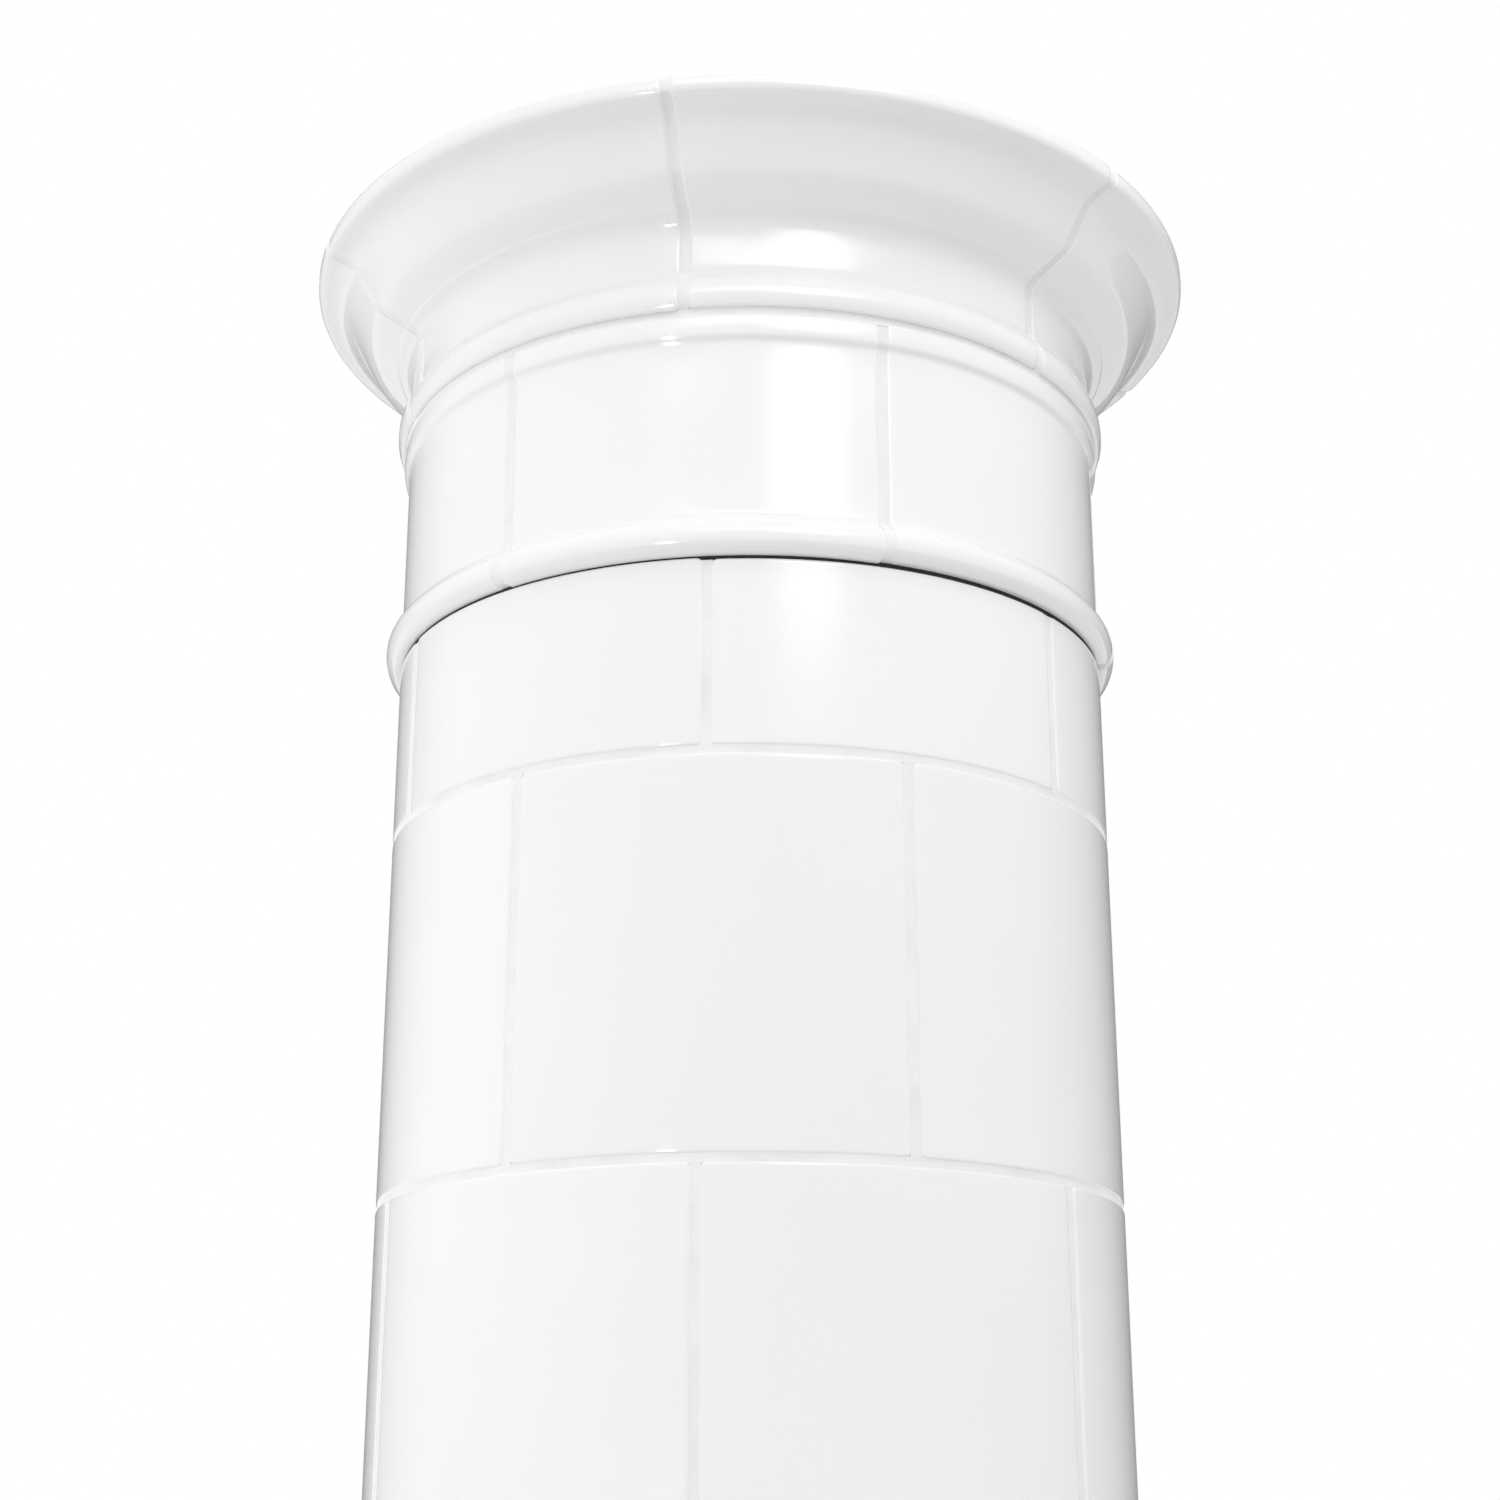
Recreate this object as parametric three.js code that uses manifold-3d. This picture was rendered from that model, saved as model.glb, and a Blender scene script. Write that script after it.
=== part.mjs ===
// A round tiled stove: glazed tile shell on a plinth, brass fire doors, a firebrick heart with five
// smoke channels, and a moulded frieze and crown that stand loose on the shell.
// Millimetres, +Z up, origin on the floor under the stove's axis, doors facing -Y.
// Azimuths are in degrees from the front (-Y), growing towards +X.
import * as THREE from "three";
import { mergeVertices } from "three/addons/utils/BufferGeometryUtils.js";
import Module from "manifold-3d";

const wasm = await Module();
wasm.setup();

// ---- driving dimensions: the shell ----
const bodyRadius = 300; // glazed face of the plain tiles
const tilesPerRow = 6;
const rowHeight = 300; // a full tile with its bed joint
const rowCount = 5;
const halfRowHeight = 149;
const plinthHeight = 280;
const plinthProjection = 18; // how far the plinth stands proud of the tiles
const tileDepth = 55; // glazed face to the back of the rump
const faceThickness = 14;
const rimThickness = 12;
const ribThickness = 10;
const sideJoint = 5.5; // visible width of an upright joint
const bedJoint = 4.3; // visible height of a bed joint
const jointDepth = 6;
const dryGap = 0.4; // between the ground backs of two tiles

// ---- driving dimensions: frieze and crown ----
const shadowGap = 2.5; // open joint under the frieze
const friezeHeight = 205.5;
const crownHeight = 163;
const torusRadius = 12.5;
const friezeBeadProjection = 6;
const crownBeadProjection = 11;
const crownProjection = 88.3;
const crownTurn = -3.2; // frieze and crown stand a little twisted on the shell
const coverThickness = 14;

// ---- driving dimensions: the fire doors ----
const openingRows = 1.5; // height of the opening, in rows
const frameClearance = 6; // round the frame's sleeve, packed with mortar
const sleeveThickness = 10;
const sleeveDepth = 105;
const flangeWidth = 22;
const flangeThickness = 4;
const leafThickness = 3;
const leafBorder = 12;
const leafClearance = 1;
const shieldThickness = 2;
const hingeBarrelRadius = 5;
const hingePinRadius = 2.4;
const hingeInset = 70; // hinge centre from the leaf's end
const leafKnuckleHeight = 18;
const frameKnuckleHeight = 14;
const knuckleGap = 0.4;
const knobRadius = 14;
const knobAzimuth = 5;
const spindleRadius = 4;
const latchLength = 45;
const latchTravel = 6; // from the shield's back to the latch bar
const slotHeight = 6;
const slotPitch = 14;
const slotCount = 3;
const shutterAzimuths = [9, 21];

// ---- driving dimensions: the firebrick heart ----
const slabThickness = 36; // hearth slab
const liningThickness = 42;
const roofThickness = 45;
const backfillGap = 5; // between the tile backs and the brickwork
const riserWidth = 130;
const partition = 25; // brick between two channels
const outerWall = 24; // least brick outside a channel
const frontBay = [-110, -10]; // the riser with a down channel on each side
const backBay = [15, 115]; // the up channels, and the collector between them
const crossoverHeight = 110;
const windowHeight = 100;
const topSlabThickness = 40;
const coreHeadroom = 70; // core top above the foot of the half row
const flueRadius = 75;
const flueWall = 2.5;
const flueReach = 45; // spigot beyond the tiles
const collarWidth = 23;
const collarThickness = 3;
const collectorMargin = 10; // collector beyond the flue, above and below
const damperOverlap = 4; // plate beyond the throat, all round
const damperSideLap = 7;
const damperThickness = 4;
const rodRadius = 5;
const hatchAzimuth = 120;
const hatchRadius = 50;
const hatchHeight = 60; // above the firebox roof
const hatchCoverRadius = 58;
const hatchPlugDepth = 50;
const hatchSides = 16;
const pipeSides = 24;
const lintelThickness = 6.3;
const lintelWidth = 30;

// ---- clearances ----
const seatGap = 0.3; // faces that rest on each other
const fitGap = 0.6; // round a pin, pipe or spindle
const looseGap = 1.5; // round a pipe or rod where it goes through the shell
const past = 20; // how far a cutter runs out beyond what it cuts

// ---- levels and radii worked out from the above ----
const facet = 10; // degrees between the edges of every curved face
const pitch = 360 / tilesPerRow;
const rumpRadius = bodyRadius - tileDepth;
const rowBottom = (row) => plinthHeight + (row - 1) * rowHeight;
const halfBottom = rowBottom(rowCount + 1);
const halfTop = halfBottom + halfRowHeight;
const friezeBottom = halfTop + shadowGap;
const crownBottom = friezeBottom + friezeHeight;
const openingTop = rowBottom(3);
const openingBottom = openingTop - openingRows * rowHeight;
const openingHalf = bodyRadius * Math.sin((pitch / 2) * THREE.MathUtils.DEG2RAD);
const sleeveOuter = openingHalf - frameClearance;
const sleeveInner = sleeveOuter - sleeveThickness;
const sleeveFoot = openingBottom + frameClearance + 2;
const sleeveHead = openingTop - frameClearance - 2;
const rabbet = 6; // how much of the sleeve's end each leaf closes on
const leafHalf = sleeveInner + rabbet - leafClearance;
const leafBottom = sleeveFoot + sleeveThickness - rabbet + leafClearance;
const leafTop = sleeveHead - sleeveThickness + rabbet - leafClearance;
const leafInner = bodyRadius + 0.2;
const leafOuter = leafInner + leafThickness;
const flangeInner = bodyRadius + dryGap;
const flangeOuter = flangeInner + flangeThickness;
const hingeRadius = flangeOuter + hingeBarrelRadius + 0.5;
const hingeX = leafHalf + 7;
const hingeY = -Math.sqrt(hingeRadius ** 2 - hingeX ** 2);
const coreRadius = rumpRadius - backfillGap;
const hearthTop = sleeveFoot - 1;
const roofBottom = openingTop + seatGap;
const roofTop = openingTop + roofThickness;
const coreTop = halfBottom + coreHeadroom;
const flueHeight = rowBottom(rowCount) + rowHeight / 2;
const collectorFoot = flueHeight - flueRadius - collectorMargin;
const collectorHead = flueHeight + flueRadius + collectorMargin;
const damperTravel = frontBay[1] - frontBay[0] + 2 * damperOverlap;
const hatchLevel = roofTop + hatchHeight;
const plateBottom = roofTop + seatGap;
const rodHeight = plateBottom + damperThickness + seatGap + rodRadius;

const finishes = {
  glaze: { color: 0xf4f4f2, roughness: 0.12, metalness: 0 },
  brass: { color: 0xc9a04e, roughness: 0.25, metalness: 1 },
  iron: { color: 0x2b2b2d, roughness: 0.55, metalness: 0.8 },
  steel: { color: 0x8d9093, roughness: 0.4, metalness: 1 },
  firebrick: { color: 0xc9a47c, roughness: 0.95, metalness: 0 },
  mortar: { color: 0xb9b4aa, roughness: 1, metalness: 0 },
  fibre: { color: 0x1c1c1c, roughness: 1, metalness: 0 },
};

// ---- tools ----
const radians = THREE.MathUtils.degToRad;
const angleOf = (length, radius) => THREE.MathUtils.radToDeg(length / radius);

// A curved face runs straight from one facet line to the next. This is how far out it lies at an
// azimuth, as a share of its radius.
function facetShare(azimuth) {
  const middle = (Math.floor(azimuth / facet) + 0.5) * facet;
  return Math.cos(radians(facet / 2)) / Math.cos(radians(azimuth - middle));
}

// The azimuths of a curved face's edges: its two ends and every facet line between them.
function facetLines(from, to) {
  const lines = [from];
  for (let a = Math.floor(from / facet + 1) * facet; a < to - 0.05; a += facet) {
    if (a > from + 0.05) lines.push(a);
  }
  lines.push(to);
  return lines;
}

// Sweeps a closed outline of [radius, height] points round the stove's axis between two azimuths.
function sector(outline, from, to) {
  const whole = to - from >= 360;
  const points = outline.map(([r, z]) => new THREE.Vector2(r, z));
  if (THREE.ShapeUtils.isClockWise(points)) points.reverse();
  const lines = facetLines(from, to);
  if (whole) lines.pop();
  const n = points.length;
  const positions = [];
  for (const line of lines) {
    const s = facetShare(line) * Math.sin(radians(line));
    const c = facetShare(line) * Math.cos(radians(line));
    for (const p of points) positions.push(p.x * s, -p.x * c, p.y);
  }
  const faces = [];
  const spans = whole ? lines.length : lines.length - 1;
  for (let i = 0; i < spans; i++) {
    const next = (i + 1) % lines.length;
    for (let j = 0; j < n; j++) {
      const k = (j + 1) % n;
      const [a, b, c, d] = [i * n + j, next * n + j, next * n + k, i * n + k];
      faces.push(a, b, c, a, c, d);
    }
  }
  if (!whole) {
    const last = (lines.length - 1) * n;
    for (const [a, b, c] of THREE.ShapeUtils.triangulateShape(points, [])) {
      faces.push(a, b, c, last + a, last + c, last + b);
    }
  }
  const geometry = new THREE.BufferGeometry();
  geometry.setAttribute("position", new THREE.Float32BufferAttribute(positions, 3));
  geometry.setIndex(faces);
  return geometry;
}

const rectangle = (r0, r1, z0, z1) => [[r0, z0], [r1, z0], [r1, z1], [r0, z1]];
const arcBlock = (r0, r1, z0, z1, from, to) => sector(rectangle(r0, r1, z0, z1), from, to);

function block([x0, x1], [y0, y1], [z0, z1]) {
  const geometry = new THREE.BoxGeometry(x1 - x0, y1 - y0, z1 - z0);
  return geometry.translate((x0 + x1) / 2, (y0 + y1) / 2, (z0 + z1) / 2);
}

// An upright round bar or slab with its foot at z0.
function upright(radius, z0, z1, sides = 360 / facet, x = 0, y = 0) {
  const geometry = new THREE.CylinderGeometry(radius, radius, z1 - z0, sides);
  return geometry.rotateX(Math.PI / 2).translate(x, y, (z0 + z1) / 2);
}

// Turns a profile of [radius, distance out] points into a piece that points straight out of the
// stove at an azimuth and a height. Distances are those of the faceted faces it stands on.
function turned(profile, azimuth, height, sides = 12) {
  const share = facetShare(azimuth);
  const points = profile.map(([r, d]) => new THREE.Vector2(r, d * share));
  const geometry = new THREE.LatheGeometry(points, sides);
  return geometry.rotateZ(radians(azimuth - 180)).translate(0, 0, height);
}

const plug = (radius, d0, d1, azimuth, height, sides) =>
  turned([[0, d0], [radius, d0], [radius, d1], [0, d1]], azimuth, height, sides);

function solid(geometry) {
  const bare = geometry.clone();
  bare.deleteAttribute("normal");
  bare.deleteAttribute("uv");
  const merged = mergeVertices(bare, 1e-4);
  return new wasm.Manifold(
    new wasm.Mesh({
      numProp: 3,
      vertProperties: merged.attributes.position.array,
      triVerts: new Uint32Array(merged.index.array),
    }),
  );
}

function geometryOf(made) {
  const mesh = made.getMesh();
  const geometry = new THREE.BufferGeometry();
  geometry.setAttribute("position", new THREE.BufferAttribute(mesh.vertProperties, 3));
  geometry.setIndex(new THREE.BufferAttribute(mesh.triVerts, 1));
  return geometry;
}

const joined = (...geometries) =>
  geometryOf(geometries.map(solid).reduce((whole, piece) => whole.add(piece)));
const cut = (geometry, ...cutters) =>
  geometryOf(cutters.map(solid).reduce((whole, cutter) => whole.subtract(cutter), solid(geometry)));
const common = (a, b) => geometryOf(solid(a).intersect(solid(b)));

function piece(parent, name, geometry, finish) {
  const material = new THREE.MeshStandardMaterial(finishes[finish]);
  material.name = finish;
  const mesh = new THREE.Mesh(geometry, material);
  mesh.name = name;
  parent.add(mesh);
  return mesh;
}

// ---- the tiles ----
// The hollows in a tile's back, two across and one or two high, with ribs between them.
function rumpHollows(z0, z1, centre, levels) {
  const half = pitch / 2 - angleOf(rimThickness, rumpRadius);
  const rib = angleOf(ribThickness / 2, rumpRadius);
  const hollow = (z1 - z0 - 2 * rimThickness - (levels - 1) * ribThickness) / levels;
  const hollows = [];
  for (let level = 0; level < levels; level++) {
    const foot = z0 + rimThickness + level * (hollow + ribThickness);
    for (const [from, to] of [[-half, -rib], [rib, half]]) {
      const [r0, r1] = [rumpRadius - 5, bodyRadius - faceThickness];
      hollows.push(arcBlock(r0, r1, foot, foot + hollow, centre + from, centre + to));
    }
  }
  return hollows;
}

// A tile is a front, set back from its neighbours by half a joint, on a rump that all but touches
// them. Both are outlines in [radius, height].
function tile(front, rump, centre, hollows) {
  const frontHalf = pitch / 2 - angleOf(sideJoint / 2, bodyRadius);
  const rumpHalf = pitch / 2 - angleOf(dryGap / 2, bodyRadius);
  const face = sector(front, centre - frontHalf, centre + frontHalf);
  const back = sector(rump, centre - rumpHalf, centre + rumpHalf);
  return cut(joined(back, face), ...hollows);
}

function plainTile(z0, height, centre, levels) {
  const z1 = z0 + height;
  const front = rectangle(
    bodyRadius - faceThickness,
    bodyRadius,
    z0 + bedJoint / 2,
    z1 - bedJoint / 2,
  );
  const rump = rectangle(rumpRadius, bodyRadius - jointDepth, z0 + dryGap / 2, z1 - dryGap / 2);
  return tile(front, rump, centre, rumpHollows(z0, z1, centre, levels));
}

// Six tiles whose backs are packed solid with clay and brick, as one course.
function packedRow(row) {
  const [z0, z1] = [rowBottom(row), rowBottom(row + 1)];
  const bed = bedJoint / 2;
  const ring = sector(
    [
      [rumpRadius, z0 + dryGap / 2],
      [bodyRadius - jointDepth, z0 + dryGap / 2],
      [bodyRadius - jointDepth, z0 + bed],
      [bodyRadius, z0 + bed],
      [bodyRadius, z1 - bed],
      [bodyRadius - jointDepth, z1 - bed],
      [bodyRadius - jointDepth, z1 - dryGap / 2],
      [rumpRadius, z1 - dryGap / 2],
    ],
    0,
    360,
  );
  return cut(ring, ...jointGrooves(row, z0, z1, bodyRadius + 10));
}

// Joints stand over the tiles below: odd rows have a tile at the front, even rows a joint.
const firstJoint = (row) => (row % 2 ? pitch / 2 : 0);

function jointGrooves(row, z0, z1, reach) {
  const half = angleOf(sideJoint / 2, bodyRadius);
  return Array.from({ length: tilesPerRow }, (_, i) => {
    const at = firstJoint(row) + i * pitch;
    return arcBlock(bodyRadius - jointDepth, reach, z0 - 1, z1 + 1, at - half, at + half);
  });
}

function plinthRing() {
  const proud = bodyRadius + plinthProjection;
  const top = plinthHeight - bedJoint / 2;
  const outline = [
    [rumpRadius, 0],
    [proud, 0],
    [proud, plinthHeight - 82],
    [bodyRadius + 8, plinthHeight - 70],
    [bodyRadius + 13, plinthHeight - 52],
    [bodyRadius + 11, plinthHeight - 40],
    [bodyRadius + 3.5, plinthHeight - 28],
    [bodyRadius, plinthHeight - 18],
    [bodyRadius, top],
    [bodyRadius - jointDepth, top],
    [bodyRadius - jointDepth, plinthHeight - dryGap / 2],
    [rumpRadius, plinthHeight - dryGap / 2],
  ];
  return cut(sector(outline, 0, 360), ...jointGrooves(0, 0, plinthHeight, proud + 10));
}

// ---- frieze and crown ----
function arcPoints(r, z, radius, from, to, steps) {
  return Array.from({ length: steps + 1 }, (_, i) => {
    const angle = radians(from + ((to - from) * i) / steps);
    return [r + radius * Math.cos(angle), z + radius * Math.sin(angle)];
  });
}

function friezeTile(centre) {
  const z0 = friezeBottom;
  const beadFoot = friezeHeight - 18;
  const bead = bodyRadius + friezeBeadProjection;
  const front = [
    [bodyRadius - faceThickness, z0],
    ...arcPoints(bodyRadius + 0.1, z0 + torusRadius, torusRadius, -90, 70, 4),
    [bodyRadius + 3.8, z0 + 2 * torusRadius + 4],
    [bodyRadius, z0 + 2 * torusRadius + 12],
    [bodyRadius, z0 + beadFoot - 6],
    [bead - 1.5, z0 + beadFoot],
    [bead - 1.5, z0 + friezeHeight - bedJoint / 2],
    [bodyRadius - faceThickness, z0 + friezeHeight - bedJoint / 2],
  ];
  const z1 = z0 + friezeHeight - dryGap / 2;
  const rump = rectangle(rumpRadius + 5, bodyRadius - jointDepth, z0, z1);
  return tile(front, rump, centre, rumpHollows(z0, z1, centre, 1));
}

// The crown's outer face from foot to lip, as [projection from the plain tiles, height].
const crownFace = [
  [8.3, bedJoint / 2],
  [crownBeadProjection, 9],
  [crownBeadProjection, 19],
  [6, 30],
  [0.8, 44],
  [0.8, 70],
  [4.5, 84.5],
  [30, 96.5],
  [39, 101.5],
  [55, 126.5],
  [62, 136],
  [70, 142],
  [crownProjection - 4, 147.5],
  [crownProjection, 154],
  [crownProjection, crownHeight - 3],
  [crownProjection - 3, crownHeight],
];
const coverLedge = 112;
// The crown's hollow side from the lip down to the neck.
const crownBack = [
  [crownProjection - 16, crownHeight],
  [66, 157],
  [52, 151],
  [41, 135],
  [26, coverLedge],
  [-4, coverLedge],
  [-faceThickness, 98],
  [-faceThickness, bedJoint / 2],
];

function crownTile(centre) {
  const front = [...crownFace, ...crownBack].map(([p, z]) => [bodyRadius + p, crownBottom + z]);
  const foot = crownBottom + dryGap / 2;
  const rump = [
    [rumpRadius + 5, foot],
    [bodyRadius - jointDepth, foot],
    [bodyRadius - jointDepth, crownBottom + 86],
    [bodyRadius - faceThickness, crownBottom + 86],
    [bodyRadius - faceThickness, crownBottom + rimThickness],
    [rumpRadius + 5, crownBottom + rimThickness],
  ];
  return tile(front, rump, centre, []);
}

function crownAssembly() {
  const group = new THREE.Group();
  group.rotation.z = radians(crownTurn);
  for (let i = 0; i < tilesPerRow; i++) {
    piece(group, `frieze_tile_${i + 1}`, friezeTile(i * pitch), "glaze");
    piece(group, `crown_tile_${i + 1}`, crownTile((i + 0.5) * pitch), "glaze");
  }
  const z = crownBottom + coverLedge + seatGap;
  piece(group, "crown_cover", upright(bodyRadius + 19, z, z + coverThickness), "mortar");
  return group;
}

// ---- the shell ----
const mouth = (z0, z1) => block([-openingHalf, openingHalf], [-2 * bodyRadius, -80], [z0, z1]);
const lintelHalf = pitch / 2 + 7;
const lintelInner = rumpRadius + 5;
const throughShell = [rumpRadius - past, bodyRadius + past];

function shell() {
  const group = new THREE.Group();
  piece(group, "plinth_ring", plinthRing(), "glaze");
  const lower = cut(packedRow(1), mouth(openingBottom, openingTop));
  piece(group, "tile_row_1", lower, "glaze");
  const lintelSeat = arcBlock(
    rumpRadius - past,
    lintelInner + lintelWidth + 1,
    openingTop - lintelThickness - 2 * seatGap,
    openingTop + 1,
    -lintelHalf - 0.2,
    lintelHalf + 0.2,
  );
  const middle = cut(packedRow(2), mouth(openingBottom, openingTop + 1), lintelSeat);
  piece(group, "tile_row_2", middle, "glaze");
  const rodHole = plug(rodRadius + looseGap, ...throughShell, 0, rodHeight);
  piece(group, "tile_row_3", cut(packedRow(3), ...hatchHoles(...throughShell), rodHole), "glaze");
  piece(group, "tile_row_4", packedRow(4), "glaze");
  const flueHole = plug(flueRadius + looseGap, ...throughShell, 180, flueHeight, pipeSides);
  for (let i = 0; i < tilesPerRow; i++) {
    const centre = i * pitch;
    const upper = plainTile(rowBottom(rowCount), rowHeight, centre, 2);
    const pierced = centre === 180 ? cut(upper, flueHole) : upper;
    piece(group, `upper_tile_${i + 1}`, pierced, "glaze");
    const half = plainTile(halfBottom, halfRowHeight, centre + pitch / 2, 1);
    piece(group, `half_tile_${i + 1}`, half, "glaze");
  }
  const strip = arcBlock(
    rumpRadius + 9,
    bodyRadius - faceThickness,
    halfTop - dryGap / 2 + seatGap,
    friezeBottom - seatGap,
    0,
    360,
  );
  piece(group, "expansion_strip", strip, "fibre");
  const lintel = arcBlock(
    lintelInner,
    lintelInner + lintelWidth,
    openingTop - lintelThickness - seatGap,
    openingTop - seatGap,
    -lintelHalf,
    lintelHalf,
  );
  piece(group, "lintel_bar", lintel, "iron");
  return group;
}

// ---- the firebrick heart ----
const channelReach = (y) => Math.sqrt((coreRadius - outerWall) ** 2 - y ** 2);
const channelStart = riserWidth / 2 + partition;

const sorted = (a, b) => [Math.min(a, b), Math.max(a, b)];

// Where the channels on one side lie across the stove, in a bay.
const channelAcross = (side, [y0, y1]) =>
  sorted(side * channelStart, side * channelReach(Math.max(Math.abs(y0), Math.abs(y1))));

// The upright channels through a stretch of the core, run out past both its ends.
function channels(z0, z1) {
  const span = [z0 - 1, z1 + 1];
  const cutters = [block([-riserWidth / 2, riserWidth / 2], frontBay, span)];
  for (const side of [-1, 1]) {
    for (const bay of [frontBay, backBay]) cutters.push(block(channelAcross(side, bay), bay, span));
  }
  return cutters;
}

const hatchHoles = (from, to) =>
  [-1, 1].map((side) =>
    plug(hatchRadius + 2, from, to, side * hatchAzimuth, hatchLevel, hatchSides),
  );

function lowerCoreBlock(z0, z1) {
  const crossovers = [-1, 1].map((side) =>
    block(
      channelAcross(side, backBay),
      [frontBay[1] - 1, backBay[0] + 1],
      [z0 - 1, roofTop + crossoverHeight],
    ),
  );
  const plateSide = riserWidth / 2 + damperSideLap + 4;
  const slotSpan = [frontBay[0] - 8, frontBay[1] + damperTravel + 12];
  const plateSlot = block(
    [-plateSide, plateSide],
    slotSpan,
    [z0 - 1, plateBottom + damperThickness + 7],
  );
  const rodSlot = block(
    [-rodRadius - 2, rodRadius + 2],
    [-coreRadius - past, slotSpan[1]],
    [z0 - 1, rodHeight + rodRadius + 2],
  );
  const hatches = hatchHoles(coreRadius / 2, coreRadius + past);
  const cutters = [...channels(z0, z1), ...crossovers, plateSlot, rodSlot, ...hatches];
  return cut(upright(coreRadius, z0, z1), ...cutters);
}

// The course with the collector, which runs right through it between the two up channels.
function upperCoreBlock(z0, z1) {
  const collector = block([-channelStart - 1, channelStart + 1], backBay, [z0 - 1, z1 + 1]);
  const bore = plug(
    flueRadius + fitGap,
    backBay[1] - 10,
    coreRadius + past,
    180,
    flueHeight,
    pipeSides,
  );
  return cut(upright(coreRadius, z0, z1), ...channels(z0, z1), collector, bore);
}

// The top course, where the smoke turns over the low ends of the partitions.
function headCoreBlock(z0, z1) {
  const windows = [-1, 1].map((side) =>
    block(sorted(side * (riserWidth / 2 - 1), side * (channelStart + 1)), frontBay, [
      z1 - windowHeight,
      z1 + 1,
    ]),
  );
  return cut(upright(coreRadius, z0, z1), ...channels(z0, z1), ...windows);
}

function heart() {
  const group = new THREE.Group();
  const slabFoot = hearthTop - slabThickness;
  const brick = "firebrick";
  piece(group, "foundation_block", upright(coreRadius, 0, slabFoot - seatGap), "mortar");
  piece(group, "hearth_slab", upright(coreRadius, slabFoot, hearthTop), brick);

  const lining = arcBlock(
    coreRadius - liningThickness,
    coreRadius,
    hearthTop + seatGap,
    openingTop,
    0,
    360,
  );
  const liningHalf = sleeveOuter + 2;
  const gap = block([-liningHalf, liningHalf], [-2 * bodyRadius, 0], [0, openingTop + 1]);
  piece(group, "firebox_lining", cut(lining, gap), brick);

  const throat = block([-riserWidth / 2, riserWidth / 2], frontBay, [0, roofTop + 1]);
  piece(group, "firebox_roof", cut(upright(coreRadius, roofBottom, roofTop), throat), brick);

  const lowerFoot = roofTop + seatGap;
  const middleFoot = (lowerFoot + collectorFoot) / 2;
  const lower = lowerCoreBlock(lowerFoot, middleFoot - seatGap);
  piece(group, "core_block_lower", lower, brick);
  const [z0, z1] = [middleFoot, collectorFoot - seatGap];
  piece(group, "core_block_middle", cut(upright(coreRadius, z0, z1), ...channels(z0, z1)), brick);
  const upper = upperCoreBlock(collectorFoot, collectorHead - seatGap);
  piece(group, "core_block_upper", upper, brick);
  piece(group, "core_block_head", headCoreBlock(collectorHead, coreTop), brick);
  const slab = upright(coreRadius, coreTop + seatGap, coreTop + seatGap + topSlabThickness);
  piece(group, "top_slab", slab, "mortar");
  return group;
}

const spigotEnd = bodyRadius + flueReach;
const spigotStart = coreRadius - 72;

const pipe = (radius, from, to) => plug(radius, from, to, 180, flueHeight, pipeSides);
const flueSpigot = () =>
  cut(
    pipe(flueRadius, spigotStart, spigotEnd),
    pipe(flueRadius - flueWall, spigotStart - 5, spigotEnd + 5),
  );

// The plate that covers the hole in the tile, round the spigot.
function flueCollar() {
  const outer = flueRadius + collarWidth;
  const band = arcBlock(
    flangeInner,
    flangeInner + collarThickness,
    flueHeight - outer - past,
    flueHeight + outer + past,
    155,
    205,
  );
  const disc = common(band, pipe(outer, rumpRadius, bodyRadius + past));
  return cut(disc, pipe(flueRadius + fitGap, rumpRadius, bodyRadius + past));
}

// ---- damper and soot hatches ----
function knob(d0, azimuth, height, scale = 1) {
  const r = knobRadius * scale;
  const profile = [
    [0, d0],
    [0.75 * r, d0],
    [0.75 * r, d0 + 2.5],
    [0.36 * r, d0 + 5],
    [0.36 * r, d0 + 5 + 0.5 * r],
    [r, d0 + 5 + 1.1 * r],
    [0.85 * r, d0 + 5 + 1.75 * r],
    [0, d0 + 5 + 2.1 * r],
  ];
  return turned(profile, azimuth, height);
}

function damper() {
  const group = new THREE.Group();
  const plateFront = frontBay[1] + damperOverlap;
  const plateSide = riserWidth / 2 + damperSideLap;
  const plate = block(
    [-plateSide, plateSide],
    [plateFront, plateFront + damperTravel],
    [plateBottom, plateBottom + damperThickness],
  );
  piece(group, "damper_plate", plate, "iron");
  const rodEnd = bodyRadius + 16;
  const rod = plug(rodRadius, -plateFront - 40, rodEnd, 0, rodHeight);
  piece(group, "damper_rod", rod, "iron");
  piece(group, "damper_knob", knob(rodEnd + seatGap, 0, rodHeight), "brass");
  return group;
}

function sootHatch(side) {
  const azimuth = side * hatchAzimuth;
  const disc = (radius, from, to) => plug(radius, from, to, azimuth, hatchLevel, hatchSides);
  const plugEnd = bodyRadius - hatchPlugDepth;
  const face = arcBlock(
    rumpRadius / 2,
    flangeInner,
    hatchLevel - hatchCoverRadius - past,
    hatchLevel + hatchCoverRadius + past,
    azimuth - pitch / 2,
    azimuth + pitch / 2,
  );
  const cover = cut(disc(hatchCoverRadius, bodyRadius - 30, bodyRadius + 5), face);
  const grip = knob(bodyRadius + 4, azimuth, hatchLevel, 0.8);
  const body = disc(hatchRadius, plugEnd, bodyRadius + 2);
  return cut(joined(body, cover, grip), disc(hatchRadius - 4, plugEnd - 10, bodyRadius - 8));
}

// ---- the fire doors ----
const doorSpan = 36; // azimuth that safely covers the frame
const tall = [leafBottom - leafClearance, leafTop + leafClearance];

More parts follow.
